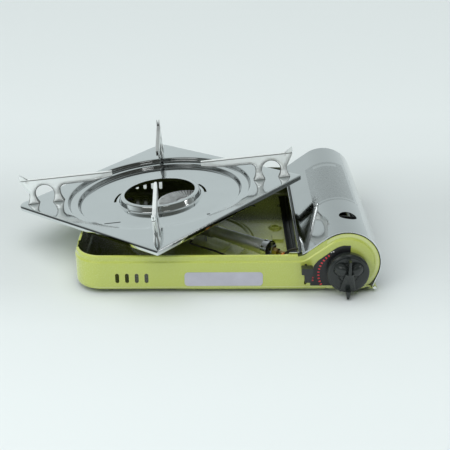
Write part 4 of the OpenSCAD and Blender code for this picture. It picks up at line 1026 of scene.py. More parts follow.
def end_panel(edge, back):
    """Three parts of the front or back panel: its rolled edge, its flat face and its bottom roll."""
    def deep(inset):
        """The place along Y that lies inset behind the panel's face."""
        return BODY_D - inset if back else inset

    rows = []
    for x, z, nx, nz in front_stations():
        share = min(1.0, max(0.0, (x - SHIELD_X + 8) / 8))
        flange = RIM_FLANGE + (HUMP_FLANGE - RIM_FLANGE) * share
        rows.append([(x - nx * drop, deep(inset), z - nz * drop)
                     for drop, inset in rim_profile(edge, flange)])
    rows.append([(skirt_x(drop, BOTTOM_R), deep(inset), BOTTOM_R)
                 for drop, inset in rim_profile(edge, HUMP_FLANGE)])
    face = [(row[-1][0], row[-1][2]) for row in rows]
    face += [(FLOOR_RIGHT, BOTTOM_R), (LEFT_X + CORNER_R, BOTTOM_R),
             (LEFT_X + CORNER_R, BOTTOM_R + 0.5)]
    tris = tessellate_polygon([[Vector((x, z, 0)) for x, z in face]])
    roll = [[(x, deep(inset), z) for inset, z in curl()] for x in (LEFT_X + CORNER_R, FLOOR_RIGHT)]
    return [lofted(rows), ([(x, deep(0.0), z) for x, z in face], [tuple(t) for t in tris]),
            lofted(roll)]


def side_rows(edge):
    """Rows of the left wall with its two round corners, from the front panel to the back one."""
    rows = []
    for y, a in ([(CORNER_R, a) for a in range(270, 179, -6)]
                 + [(BODY_D - CORNER_R, a) for a in range(180, 89, -6)]):
        turn = math.radians(a)
        out = Vector((math.cos(turn), math.sin(turn), 0))
        centre = Vector((LEFT_X + CORNER_R, y, 0))
        rows.append([tuple(centre + out * (CORNER_R - inset) + Vector((0, 0, RIM_H - drop)))
                     for drop, inset in rim_profile(edge, RIM_FLANGE, True)])
    return rows


def pan_floor(edge_points):
    """The floor, and the disc under the burner with its pressed ring and raised middle."""
    floor = [(FLOOR_RIGHT, BOTTOM_R), *edge_points, (FLOOR_RIGHT, BODY_D - BOTTOM_R)]
    rings = [(82, 0), (80, 0), (78.6, 0.5), (77, 1.8), (76, 2.0), (75, 1.8), (73.4, 0.5), (72, 0),
             (56, 0), (55, 0.4), (53.5, 1.8), (52, 2.2), (20, 2.2), (0, 2.2)]
    hole = circle(*BURNER, rings[0][0], 96)
    tris = tessellate_polygon([[Vector((x, y, 0)) for x, y in loop] for loop in (floor, hole)])
    return [([(x, y, 0) for x, y in floor + hole], [tuple(t) for t in tris]),
            turned(rings, 96, "Z", (*BURNER, 0.0))]


def pan_shape(edge):
    """The pan's outer skin: end panels with their humps, rolled rim, corners, wall and floor."""
    side = side_rows(edge)
    return joined(*end_panel(edge, False), *end_panel(edge, True), lofted(side),
                  *pan_floor([row[-1][:2] for row in side]))


def pan_cuts():
    """Everything that is cut out of the pan, as one set of closed solids."""
    front, back, under = (-1, 2.5), (BODY_D - 2.5, BODY_D + 1), (-1, 2.5)
    cuts = [prism(slot_loop(VENT_AT[0] + VENT_STEP * k, VENT_AT[1], VENT_W, VENT_H), depth, facing)
            for depth in (front, back) for k in range(VENTS)]
    cuts.append(prism(circle(*KNOB, 6), front, facing))
    cuts.append(prism(slot_loop(LEVER_X, 20.25, 2.5, 25.5), front, facing))
    cuts += [prism(circle(x, y, FLOOR_HOLE_R), (-1, 3), lying) for x, y in FLOOR_HOLES]
    cuts += [prism(circle(x, y, PEG_R), under, lying) for x in FEET_X for y in FEET_Y]
    cuts += [prism(circle(y, RIVET_Z, RIVET_R), (LEFT_X - 1, LEFT_X + 2.5), sideways)
             for y in RIVET_Y]
    notch = rounded([(44, 46, 0), (44, 38.9, 2), (27, 38.9, 2), (27, 46, 0)])
    cuts.append(prism(notch, (LEFT_X - 2, LEFT_X + 8), sideways))
    return joined(*cuts)


def make_pan(looks, stuff):
    """The enamelled pan, and the raised ring and pad on its floor."""
    mesh = mesh_of("pan_body", pan_shape(looks["enamel"].edge / MM), merge=0.01)
    cuts = mesh_of("pan_cuts", pan_cuts())
    make_piece("pan_body", mesh, stuff["enamel"], "root", ["body_pan"], thick=SHEET,
               cutters=[cuts])
    ring = turned([(9, 0.9), (9, 1.0), (8.2, 1.6), (7, 3.3), (6, 3.8), (4.6, 3.4), (4, 2.2),
                   (4, 0.9)], 40, "Z", (62.5, 166.5, 0))
    pad = block((57, 127, 0.9), (71, 145, 3.6))
    make_piece("pan_pads", mesh_of("pan_pads", joined(ring, pad)), stuff["enamel"], "root",
               bevel=0.8)


# ---- cover -------------------------------------------------------------------------------------

def cover_line(offset):
    """The cover's section from its foot over the arch to the skirt's end."""
    foot = SHIELD_X + 0.5
    r = FILLET_R - offset
    start = math.radians(270) + math.asin((foot - FILLET_X) / r)
    return [*arc(FILLET_X, FILLET_Z, r, start, FLANK + math.pi, 10),
            *arc(HUMP_X, HUMP_Z, PANEL_R + offset, FLANK, -SKIRT, 72),
            (skirt_x(-offset, 4.2), 4.2)]


def make_cover(looks, stuff):
    """The bright arched cover: one curved sheet, bent in along both ends, with a round window."""
    outer = resampled(cover_line(COVER_GAP + COVER_SHEET), 2.0)
    front, back = 1.0, BODY_D - 3.5
    ys = [front, front + 0.5, front + 1.4]
    ys += [front + 3 + (back - front - 6) * k / 100 for k in range(101)]
    ys += [back - 1.4, back - 0.5, back]
    rows = []
    for y in ys:
        bend = 0.35 * max(0.0, 1 - min(y - front, back - y) / 1.6) ** 2
        rows.append([(x, y, z) for x, z in raised(outer, -bend)])
    mesh = mesh_of("cover_shell", lofted(rows), merge=0)
    top_x = (HOME @ Vector((HUMP_X, 0, 0))).x
    for polygon in mesh.polygons:
        if polygon.normal.z < 0 and abs(polygon.center.x - top_x) < 0.01:
            mesh.flip_normals()
            break
    window = turned([(0, 0), (WINDOW_R, 0), (WINDOW_R, 60), (0, 60)], 64, "Z", (*WINDOW, HUMP_Z))
    make_piece("cover_shell", mesh, stuff["mirror"], "cover", ["cartridge_cover"],
               thick=COVER_SHEET, cutters=[mesh_of("cover_hole", window, merge=0.01)], angle=40.0)


# ---- heat shield -------------------------------------------------------------------------------

def shield_cuts():
    """The shield's air slots, the holes for the gas pipe and the ignition lead, and corner slits."""
    through = (SHIELD_X - 3, SHIELD_X + 3)
    cuts = [prism(slot_loop(95 + 40 * k, 22, 5, 22), through, sideways) for k in range(4)]
    cuts.append(prism(circle(42, 14, 3.5), through, sideways))
    cuts.append(prism(circle(30, 36.5, 2.25), (SHIELD_X - 6, SHIELD_X + 3), sideways))
    for dx in (3.5, 7.0):
        slit = slot_loop(SHIELD_X - SHIELD_TOP - dx - 1, SHIELD_H - 8, 1.6, 8)
        cuts.append(prism(slit, (BOTTOM_R - 1, BOTTOM_R + 3), facing))
    return joined(*cuts)


def make_shield(looks, stuff):
    """The partition between burner bay and cartridge bay, with its folded top and end flange."""
    t, x, top = SHIELD_T, SHIELD_X, SHIELD_H
    inner, far = x - SHIELD_TOP, x - SHIELD_TOP - 11
    loop = rounded([(x - 9, SHEET + t, 0), (x - t, SHEET + t, 1.2), (x - t, top - t, 0.8),
                    (inner + t, top - t, 0.8), (inner + t, top - 6, 0)])
    loop += rounded([(inner, top - 6, 0), (inner, top, 1.5), (x, top, 1.5), (x, SHEET, 2.0),
                     (x - 9, SHEET, 0)])
    strip = prism(loop, (BOTTOM_R, BODY_D - BOTTOM_R), facing)
    corners = [(far, SHEET + t, 0), (x - 1, SHEET + t, 0), (x - 1, top - 0.4, 0),
               (far, top - 0.4, 2), (far, SHEET + t, 0)]
    flange = prism(rounded(corners)[:-1], (BOTTOM_R, BOTTOM_R + t), facing)
    for name, shape, replaces in (("heat_shield_sheet", strip, ["heat_shield"]),
                                  ("heat_shield_flange", flange, [])):
        make_piece(name, mesh_of(name, shape), stuff["shield"], "root", replaces,
                   cutters=[mesh_of("shield_cuts", shield_cuts())])


# ---- drip tray and supports --------------------------------------------------------------------

def tray_outline(inset):
    """The tray's square with a corner on each axis: points by rising angle, from the right corner."""
    half = TRAY_SIDE / 2 - inset
    corners = []
    for i, radius in enumerate(TRAY_CORNERS):
        r = max(radius - inset, 0.4)
        a = math.radians(90 * i)
        out = (half - r) * math.sqrt(2)
        corners.append(arc(out * math.cos(a), out * math.sin(a), r, a - math.pi / 4,
                           a + math.pi / 4, 8))
    points = []
    for i, corner in enumerate(corners):
        start, end = corner[-1], corners[(i + 1) % 4][0]
        points += corner
        points += [(start[0] + (end[0] - start[0]) * k / 48, start[1] + (end[1] - start[1]) * k / 48)
                   for k in range(1, 48)]
    return points


def dish_profile():
    """Section of the tray's dish, as (radius, height) points from the hole's rim to the plate."""
    return rounded([(HOLE_R + 0.6, -COLLAR_DROP - 1.2, 0), (HOLE_R + 0.1, -COLLAR_DROP + 0.1, 0.7),
                    (HOLE_R + 5, -COLLAR_DROP - 0.2, 1.4), (COLLAR_R - 1.6, -DISH_DROP + 0.8, 1.4),
                    (COLLAR_R + 1, -DISH_DROP, 1.2), (SLIT_R, -DISH_DROP, 0), (57.0, -DISH_DROP, 0),
                    (60.0, -DISH_DROP, 0), (80.0, -DISH_DROP, 0), (LEDGE_R - 3.4, -DISH_DROP, 2.5),
                    (LEDGE_R - 0.9, -LEDGE_DROP, 2.0), (DISH_R - 3.2, -LEDGE_DROP, 2.4),
                    (DISH_R - 1.3, 0.0, 2.2), (DISH_R + 3, 0.0, 0)], 5)


def tray_shape():
    """The tray's skin with its two slits beside the collar."""
    edge = tray_outline(0)
    angles = [math.atan2(y, x) for x, y in edge]
    profile = dish_profile()
    rows = [[(r * math.cos(a), r * math.sin(a), z) for a in angles] for r, z in profile]
    for k in range(1, 7):
        share = k / 7
        grown = [(DISH_R + 3) / math.hypot(x, y) * (1 - share) + share * 0.985 for x, y in edge]
        rows.append([(x * by, y * by, 0.0) for (x, y), by in zip(edge, grown)])
    for inset, z in ((1.6, 0.0), (1.0, -0.05), (0.5, -0.25), (0.15, -0.65), (0.0, -1.2), (0.0, -3.0),
                     (0.0, -LIP_H + 0.7), (0.1, -LIP_H + 0.3), (0.5, -LIP_H), (1.2, -LIP_H + 0.1)):
        rows.append([(x, y, z) for x, y in tray_outline(inset)])
    points, faces = lofted(rows, wrap=True)
    slit_row = [i for i, (r, _) in enumerate(profile) if abs(r - SLIT_R) < 0.01][0]
    kept = []
    for index, face in enumerate(faces):
        row, column = divmod(index, len(edge))
        turn = math.degrees(angles[column]) % 360
        if row != slit_row or not (0 <= turn <= 30 or 152 <= turn <= 182):
            kept.append(face)
    return points, kept


def make_tray(looks, stuff):
    """The pressed tray: dish in two steps, collar round the hole, plate, and lip folded down."""
    mesh = mesh_of("tray_plate", tray_shape(), ON_TRAY, merge=0.01)
    if mesh.polygons[len(mesh.polygons) // 2].normal.z < 0:
        mesh.flip_normals()
    make_piece("tray_plate", mesh, stuff["tray"], "tray", ["drip_tray"],
               thick=TRAY_SHEET, angle=50.0, weighted=False)


def support_outline():
    """One wall of a folded support, radius across and height up, anticlockwise from its tip."""
    under = SUPPORT_H - BAR_ROOT
    waist = (FOOT_IN + BELL, FOOT_OUT - BELL)
    middle = (FOOT_IN + FOOT_OUT) / 2
    arch_r = middle - FOOT_IN - FOOT_W + BELL
    bell = [(BELL * (k / 9) ** BELL_CURVE, BELL_H * (1 - k / 9)) for k in range(10)]
    loop = rounded([(TIP_R, SUPPORT_H - FOLD_R, 0), (TIP_R, SUPPORT_H - BAR_TIP, 1.2),
                    (TIP_R + BAR_TAPER, under + 0.3, 8), (waist[0] - COVE_R, under, 0)])
    loop += arc(waist[0] - COVE_R, under - COVE_R, COVE_R, math.radians(86), 0, 9)
    loop += [(waist[0] - out, z) for out, z in bell]
    loop += [(middle - arch_r + out, z) for out, z in reversed(bell)]
    loop += arc(middle, under + 2 - arch_r, arch_r, math.pi, 0, 26)
    loop += [(middle + arch_r - out, z) for out, z in bell]
    loop += [(waist[1] + out, z) for out, z in reversed(bell[1:])]
    loop += rounded([(waist[1], BELL_H, 0), (waist[1], 13, 6), (FOOT_OUT + 4.4, SUPPORT_H - 3, 2),
                     (FOOT_OUT + 4.9, SUPPORT_H + HORN_H, 0.7), (FOOT_OUT - 3.5, SUPPORT_H, 1.5),
                     (FOOT_OUT - 4.6, SUPPORT_H - FOLD_R, 0)])
    return loop


def gap_to(rim, p):
    """Distance of a flat point from the nearest of some (start, end) edges."""
    best = 9.0
    for a, b in rim:
        along = b - a
        share = min(1.0, max(0.0, (p - a).dot(along) / max(along.length_squared, 1e-9)))
        best = min(best, (a + along * share - p).length)
    return best


def support_half(r, z, rim, belly):
    """Half a support's width: a wedge, narrow at its tip, that rounds off towards its free edges."""
    low = SUPPORT_H - FOLD_R
    wedge = FOOT_HALF - (FOOT_HALF - TOP_HALF) * z / SUPPORT_H
    tip = TIP_HALF + (FOOT_HALF - TIP_HALF) * (r - TIP_R) / (NARROW_R - TIP_R)
    half = min(wedge, tip)
    if z > low + 1e-6 or r < TIP_R + 8 or abs(z - low) < 1e-6:
        return half
    away = min(1.0, gap_to(rim, Vector((r, z))) / 4.0)
    pinch = 0.8 * math.exp(-((z - 9) / 4.5) ** 2) if r > FOOT_IN - 2 else 0.0
    return half - belly * (1 - away) ** 2 * min(1, (r - TIP_R - 8) / 20) - pinch


def support_shape(look):
    """A support folded from one sheet: narrow toothed top, two hollow bell-footed legs, two horns."""
    wall = support_outline()
    rim = [(Vector(a), Vector(b)) for a, b in zip(wall[1:], wall[2:])]
    low = SUPPORT_H - FOLD_R
    notched = [FIRST_TOOTH - TOOTH_W * k for k in range(2 * look.teeth + 1)]
    plain = [notched[-1] + (TIP_R - notched[-1]) * k / 36 for k in range(1, 37)]
    stations = [wall[-1][0]] + notched + plain
    flat, tris = netted(wall + [(r, low) for r in stations[1:-1]], 1.0)
    halves = [support_half(r, z, rim, look.belly / MM) for r, z in flat]
    walls = [([(r, side * half, z) for (r, z), half in zip(flat, halves)], tris)
             for side in (1, -1)]
    rows = []
    for i, r in enumerate(stations):
        half = support_half(r, low, rim, look.belly / MM)
        drop = TOOTH_DEEP if 1 < i <= 2 * look.teeth and i % 2 == 0 else 0.0
        over = [(y, z - drop * (z - low) / FOLD_R)
                for y, z in arc(half - FOLD_R, low, FOLD_R, 0, math.pi / 2, 3)]
        over += [(-y, z) for y, z in reversed(over)]
        rows.append([(r, y, z) for y, z in over])
    return joined(*walls, lofted(rows))


def make_supports(looks, stuff):
    """Four equal supports round the tray."""
    shape = support_shape(looks["support"])
    for name, angle in (("front", 270), ("right", 0), ("back", 90), ("left", 180)):
        place = ON_TRAY @ Matrix.Rotation(math.radians(angle), 4, "Z")
        mesh = mesh_of("support_" + name, shape, place, merge=0.02)
        outside = mesh.polygons[0]
        away = place.to_3x3() @ Vector((0, 1, 0))
        if outside.normal.dot(away) * (outside.center - place @ Vector((130, 0, 10))).dot(away) < 0:
            mesh.flip_normals()
        make_piece("support_" + name, mesh, stuff["support"], "tray",
                   ["pan_support_" + name], thick=SUPPORT_T, weighted=False, angle=40.0)


# ---- burner and gas way ------------------------------------------------------------------------

def make_burner(looks, stuff):
    """The burner cap: turned head with fine ribs round it."""
    face = HEAD_TOP - 0.9
    low = HEAD_TOP - 7.4
    profile = [(0, face - 2.4), (CAP_R - 4, face - 2.4), (CAP_R - 4, low), (CAP_R - 0.4, low),
               (CAP_R, low + 0.4), (CAP_R, HEAD_TOP - 2.0), (CAP_R - 0.5, HEAD_TOP - 1.2),
               (CAP_R - 1.4, face), (14, face), (13, HEAD_TOP - 0.3), (12.4, HEAD_TOP),
               (9.6, HEAD_TOP), (9, HEAD_TOP - 0.3), (8, face), (0, face)]
    mesh = mesh_of("burner_head", turned(profile, 128, "Z", (*BURNER, 0)), merge=0.02)
    bar = [(RIB_IN, -0.45, 0), (CAP_R - 2.5, -0.7, 0), (CAP_R - 2.5, 0.7, 0), (RIB_IN, 0.45, 0)]
    rib = spare("rib", prism(rounded(bar), (face - 0.5, face + 0.85), lying))
    head = ring_recipe(stuff["head"]).run("burner_head", mesh, {
        "Part": rib, "Count": RIB_COUNT, "Centre": HOME @ Vector((*BURNER, 0)), "Start": 0.02,
        "Step": 2 * math.pi / RIB_COUNT, "Axis": (0, 0, 1)})
    bpy.data.objects.remove(rib)
    placed(head, "root", ["burner_cap"])


def make_leads(looks, stuff):
    """The orange ignition lead and the gas pipe, swept along the solids' routes."""
    spark = (BURNER[0] + SPARK_R * math.cos(SPARK_TURN), BURNER[1] + SPARK_R * math.sin(SPARK_TURN))
    lead = [(*spark, 21.6), (*spark, 19), (*spark, 15), (-14, 84, 9), (8, 68, 7), (32, 50, 8),
            (50, 41, 15), (62, 38, 25), (73, 34, 34), (SHIELD_X - 1, 30, 36.5), (90, 26, 37.5),
            (95, 19, 36), (94, 11, 31), (93.9, 7, 26.5), (97.5, 6.5, 25.5)]
    axis = Vector((math.cos(-TUBE_TURN), math.sin(-TUBE_TURN), 0))
    jet = Vector((*BURNER, 23)) + TUBE_LEN * axis
    pipe = [(HUMP_X - 11.9, 29, 14), (HUMP_X - 16.9, 29, 14), (HUMP_X - 24.9, 29, 14),
            (LEVER_X + 8, 42, 14), (SHIELD_X, 42, 14), tuple(jet + 9 * axis),
            tuple(jet + 0.4 * axis)]
    for name, route, radius, sides, material, slot, node in (
            ("ignition_cable", lead, 1.2, 16, "lead", "lead_orange", "ignition_lead"),
            ("gas_tube", pipe, 2.5, 20, "brass", "brass", "gas_pipe")):
        tube = tube_recipe(stuff[material]).run(name, line_mesh(name, smooth_line(route)),
                                                {"Radius": radius * MM, "Sides": sides})
        placed(tube, "root", [node])


# ---- knob, lever, dial -------------------------------------------------------------------------

def knob_disc():
    """The knob's round base with its stepped rim and boss, turned towards the front."""
    return turned(rounded([(0, 2, 0), (22.6, 2, 0.8), (23, 9.4, 1.6), (20.8, 11, 1.0),
                           (19.0, 10.4, 1.0), (12, 10.2, 1), (9, 13.6, 2), (0, 14.2, 0)], 4),
                  96, "Y", (KNOB[0], 0, KNOB[1]))


def knob_bar(loop, low, high):
    """A raised bar with a rounded top edge, from a flat loop that runs anticlockwise."""
    rows = [[(KNOB[0] + a, -depth, KNOB[1] + b) for a, b in shifted(loop, inset)]
            for inset, depth in ((0, low), (0, high - 1.2), (0.35, high - 0.3), (1.0, high))]
    points, faces = lofted(rows, wrap=True)
    return points, faces + [tuple(range(len(points) - len(loop), len(points)))]


def knob_thumb():
    """The knob's thumb ramp: it widens and sinks from the ridge down to the rim."""
    rows = []
    for k in range(13):
        t = k / 12
        height, wide = 22.4 - 10.6 * t ** 0.85, 4.2 + 5.0 * t
        side = [(wide, 9), (wide, height - 1.6), (wide - 1.2, height - 0.3), (wide - 2.6, height)]
        section = [(-a, depth) for a, depth in side] + side[::-1]
        rows.append([(KNOB[0] + a, -depth, KNOB[1] + 4.2 - 24.8 * t) for a, depth in section])
    points, faces = lofted(rows, wrap=True)
    return points, faces + [tuple(range(8)), tuple(range(len(points) - 8, len(points)))]


def knob_lobe(side):
    """A round shoulder beside the knob's ridge."""
    rows = []
    for i in range(13):
        up = i / 12
        middle = KNOB[0] + side * (5 + 4.5 * (1 - up))
        size = math.sqrt(max(0.0, 1 - up * up))
        rows.append([(middle + side * 7.5 * size * math.cos(2 * math.pi * k / 16),
                      -(10 + 8.5 * up),
                      KNOB[1] + 5.5 + 8.0 * size * math.sin(2 * math.pi * k / 16))
                     for k in range(16)])
    return lofted(rows, wrap=True)


def make_knob(looks, stuff):
    """The control knob: disc, a thin ridge down to its middle, a sloping thumb ramp and a tail."""
    ridge = knob_bar([(-1.9, 3.5), (1.9, 3.5), (1.5, 19.3), (-1.5, 19.3)], 10, 22.6)
    tail = knob_bar([(-1.5, -27), (1.5, -27), (2.6, -18), (-2.6, -18)], 8, 19)
    shape = joined(knob_disc(), ridge, knob_thumb(), tail, knob_lobe(-1), knob_lobe(1))
    make_piece("knob_body", mesh_of("knob_body", shape, merge=0.02), stuff["knob"], "knob",
               ["control_knob"], angle=45.0)


def make_lever_cap(looks, stuff):
    """The lock lever's black cap: a wide head over a narrower stem."""
    x, z = LEVER_X, 26.0
    corners = [(x - 5.4, z + 3, 0), (x - 5.4, z - 0.8, 1), (x + 7.4, z - 0.8, 1),
               (x + 7.4, z + 6.6, 1.4), (x - 5.4, z + 6.6, 1.4), (x - 5.4, z + 3, 0)]
    head = prism(rounded(corners)[:-1], (-12, -3), facing)
    stem = prism([(x - 1.4, z - 10.5), (x + 5.7, z - 10.5), (x + 6.6, z + 0.5), (x - 2.6, z + 0.5)],
                 (-11.5, -3), facing)
    mesh = mesh_of("lever_cap_body", joined(head, stem))
    make_piece("lever_cap_body", mesh, stuff["knob"], "lever", ["lever_cap"],
               bevel=0.7)


def dial_marks(*marks):
    """Thin upright rectangles on the dial, each from (left, low, width, height)."""
    return joined(*[block((x, -0.36, z), (x + wide, -0.28, z + high))
                    for x, z, wide, high in marks])


def make_dial(looks, stuff):
    """Plain red ticks in an arc on the black dial, two red squares and three white dashes."""
    bar = spare("tick", dial_marks((26.1, -0.75, 2.3, 1.5)))
    squares = dial_marks((93.3, 12.0, 1.7, 1.7), (93.3, 15.4, 1.7, 1.4))
    ticks = ring_recipe(stuff["red_mark"]).run("dial_ticks", mesh_of("dial_ticks", squares), {
        "Part": bar, "Count": 11, "Centre": HOME @ Vector((DIAL[0], 0, DIAL[1])),
        "Start": math.radians(127.5), "Step": math.radians(8.05), "Axis": (0, -1, 0)})
    bpy.data.objects.remove(bar)
    placed(ticks, "root")
    dashes = dial_marks((112.8, 46.3, 1.4, 1.0), (115.0, 47.0, 1.6, 1.0), (93.6, 26.0, 1.1, 2.0))
    make_piece("dial_dashes", mesh_of("dial_dashes", dashes), stuff["white_mark"], "root")


def make_screws(looks, stuff):
    """Rivet and screw heads on the pan's wall and floor."""
    head = spare("dome", turned([(0, 1.3), (1.0, 1.2), (1.9, 0.8), (2.5, 0.0), (2.5, -0.1)], 20))
    spots = [((x, y, RIVET_Z), (side, 0, 0))
             for x, side in ((LEFT_X, -1), (LEFT_X + 1, 1)) for y in RIVET_Y]
    spots += [((BURNER[0] + dx, BURNER[1], 2.2), (0, 0, 1)) for dx in (-26, 26)]
    mesh = line_mesh("rivet_heads", [p for p, _ in spots], [a for _, a in spots])
    piece = heads_recipe(stuff["zinc"]).run("rivet_heads", mesh, {"Head": head})
    bpy.data.objects.remove(head)
    placed(piece, "root", ["wall_rivets"])


# ---- finishes of the solids --------------------------------------------------------------------

# The bay finish on the cartridge rails and guide, and the shield finish on the carriage rod and pusher
# plate, are painted shade under the cover
SOLID_FINISH = {
    "rubber_feet": "rubber", "nameplate": "plate", "dial_plate": "print", "regulator_body": "cast",
    "regulator_cover": "zinc", "nozzle_seat": "brass", "inlet_seal": "rubber",
    "regulator_bracket": "zinc", "regulator_screws": "zinc", "gas_pipe": "brass", "gas_jet": "brass",
    "jet_bracket": "zinc", "air_shutter": "chrome", "mixing_tube": "tube", "burner_base": "cast",
    "burner_cap": "head", "burner_bracket": "zinc", "burner_screws": "zinc",
    "igniter_electrode": "zinc", "electrode_ceramic": "ceramic", "electrode_clip": "zinc",
    "ignition_lead": "lead", "piezo_igniter": "knob", "piezo_bracket": "zinc",
    "cartridge_rails": "bay", "cartridge_guide": "bay", "lever_bracket": "zinc",
    "lever_pin": "zinc", "rod_guides": "zinc", "hinge_knuckles": "enamel", "hinge_pin": "mirror",
    "cover_hinge_leaf": "zinc", "control_knob": "knob", "valve_shaft": "brass",
    "striker_cam": "acetal", "piezo_plunger": "acetal", "lock_lever": "zinc", "lever_cap": "knob",
    "carriage_rod": "shield", "pusher_plate": "shield", "body_pan": "enamel", "wall_rivets": "zinc",
    "heat_shield": "shield", "cartridge_cover": "mirror", "drip_tray": "tray",
    "pan_support_front": "support", "pan_support_right": "support", "pan_support_back": "support",
    "pan_support_left": "support",
}


def dress_solids(looks, stuff):
    """Gives every solid its material, also those that a piece stands in for."""
    for node, finish in SOLID_FINISH.items():
        slots = solids[node].data.materials
        slots.clear()
        slots.append(stuff[finish])


# ---- stage -------------------------------------------------------------------------------------

FLOOR_R = 5000.0

# The camera: its place in metres, its angles in degrees, its focal length and the render's width in
# pixels, and its sensor's width in millimetres
EYE = (0.03376, -1.06787, 0.49358)
PITCH, YAW, ROLL = 24.06, 0.33, -0.12
FOCAL, IMAGE_W, SENSOR_W = 942.89, 450, 36.0

# Soft boxes: power in watts, place, aim and size in metres, and whether metal mirrors them
BOXES = {
    "soft_front": (10, (-1.3, -1.6, 0.9), (0, 0, 0.05), (1.2, 1.0), False),
    "box_front": (1.5, (0.35, -1.4, 1.7), (0, 0, 0), (0.5, 0.35), True),
    "box_left": (5, (-1.2, -1.3, 1.4), (0, 0, 0), (1.1, 0.8), True),
    "box_right": (1.4, (1.7, -0.3, 0.8), (0, 0, 0), (0.3, 0.3), True),
}


def make_floor(look):
    """A pale round floor with painted shade in a band where the stove stands, paler in front of it and
    far behind.
    """
    rim = [(x, y, 0) for x, y in circle(0, 0, FLOOR_R, 64)]
    mesh = mesh_of("floor", (rim, [tuple(range(64))]), METRES, merge=0, outwards=False)
    floor = linked("floor", mesh)
    paper = Finish("floor_paper", look.floor, 0.9, Specular_IOR_Level=0.1)
    behind = paper.split(paper.place)[1]
    # Painted shade in a band across the floor at the stove's depth
    dark = paper.ramp(behind + 0.5, (0.15, 0.0), (0.28, 0.15), (0.38, 0.7), (0.52, 1.0), (0.6, 1.0),
                      (0.8, 0.22), (1.0, 0.0))
    paper.set("Base Color", paper.blend(dark, look.floor, scaled(look.floor, 0.817)))
    mesh.materials.append(paper.material)


def make_world():
    """Soft even light from behind and above, and a dark side behind the camera."""
    world = bpy.data.worlds.new("studio")
    bpy.context.scene.world = world
    world.use_nodes = True
    sky = Shades(world.node_tree)
    _, y, z = sky.split(sky.node("ShaderNodeTexCoord", {}, [], "Generated"))
    pale = sky.blend(sky.ramp(z, (0.0, 0.0), (0.35, 0.4), (0.8, 1.0)), (0.66, 0.73, 0.735),
                     (0.42, 0.46, 0.46))
    front = sky.ramp(0.5 - y * 0.5, (0.18, 0.0), (0.42, 0.75), (0.6, 1.0))
    low = sky.ramp(z, (0.02, 0.0), (0.22, 1.0))
    colour = sky.blend(front * low, pale, (0.10, 0.105, 0.095))
    back = world.node_tree.nodes["Background"]
    world.node_tree.links.new(colour.socket, back.inputs["Color"])


def hang(light, at, to, mirrored):
    """Puts a light in the scene, aimed at a point."""
    made = linked(light.name, light)
    made.location = at
    made.rotation_mode = "QUATERNION"
    made.rotation_quaternion = (Vector(to) - Vector(at)).to_track_quat("-Z", "Y")
    made.visible_glossy = mirrored


def make_lamps(look):
    """A wide sun overhead and the soft boxes."""
    sun = bpy.data.lights.new("soft_top", "SUN")
    sun.energy, sun.angle = look.lamp, math.radians(80)
    hang(sun, (-0.3, -0.25, 2.0), (0, 0, 0), False)
    for name, (power, at, to, size, mirrored) in BOXES.items():
        light = bpy.data.lights.new(name, "AREA")
        light.energy, light.shape = power, "RECTANGLE"
        light.size, light.size_y = size
        hang(light, at, to, mirrored)


def make_camera():
    """The camera, and the view's plain colours."""
    pitch, yaw, roll = math.radians(PITCH), math.radians(YAW), math.radians(ROLL)
    ahead = Vector((math.sin(yaw) * math.cos(pitch), math.cos(yaw) * math.cos(pitch),
                    -math.sin(pitch)))
    right = Vector((math.cos(yaw), -math.sin(yaw), 0))
    up = right.cross(ahead)
    right, up = (math.cos(roll) * right + math.sin(roll) * up,
                 -math.sin(roll) * right + math.cos(roll) * up)
    camera = bpy.data.cameras.new("camera")
    camera.sensor_width, camera.lens = SENSOR_W, FOCAL / IMAGE_W * SENSOR_W
    camera.clip_start, camera.clip_end = 0.05, 50
    eye = linked("camera", camera)
    eye.matrix_world = (Matrix.Translation(EYE)
                        @ Matrix((right, up, -ahead)).transposed().to_4x4())
    bpy.context.scene.camera = eye
    bpy.context.scene.view_settings.view_transform = "Standard"


def make_stage(looks, stuff):
    """Floor, world, lamps and camera."""
    make_floor(looks["stage"])
    make_world()
    make_lamps(looks["stage"])
    make_camera()


# ---- the add-on --------------------------------------------------------------------------------

LOOKS = {"enamel": EnamelLook, "steel": SteelLook, "support": SupportLook, "stage": StageLook}


def looks_of(scene):
    """The scene's sizes and colours, by name."""
    return {name: getattr(scene, "stove_" + name) for name in LOOKS}


def materials_of(scene):
    """The stove's materials, made at the first call and found again after that."""
    names = scene.get("stove_materials")
    if not names:
        made = finishes(looks_of(scene))
        scene["stove_materials"] = {k: m.name for k, m in made.items()}
        return made
    return {k: bpy.data.materials[v] for k, v in names.items()}


class StoveOperator:
    """Shared by the stove's operators: runs the maker, whose error stops the script."""

    bl_options = {"REGISTER", "UNDO"}
    maker = None

    def execute(self, context):
        """Hands the looks and the materials to the maker."""
        type(self).maker(looks_of(context.scene), materials_of(context.scene))
        return {"FINISHED"}


class STOVE_OT_stage(StoveOperator, Operator):
    """Builds the floor, world, lamps and camera"""
    bl_idname, bl_label = "stove.stage", "Stage"
    maker = make_stage


class STOVE_OT_solids(StoveOperator, Operator):
    """Gives every solid its finish"""
    bl_idname, bl_label = "stove.solids", "Solids' finishes"
    maker = dress_solids


class STOVE_OT_pan(StoveOperator, Operator):
    """Builds the enamelled pan"""
    bl_idname, bl_label = "stove.pan", "Enamelled pan"
    maker = make_pan


class STOVE_OT_cover(StoveOperator, Operator):
    """Builds the arched cartridge cover"""
    bl_idname, bl_label = "stove.cover", "Cartridge cover"
    maker = make_cover


class STOVE_OT_shield(StoveOperator, Operator):
    """Builds the heat shield"""
    bl_idname, bl_label = "stove.shield", "Heat shield"
    maker = make_shield


class STOVE_OT_tray(StoveOperator, Operator):
    """Builds the pressed drip tray"""
    bl_idname, bl_label = "stove.tray", "Drip tray"
    maker = make_tray


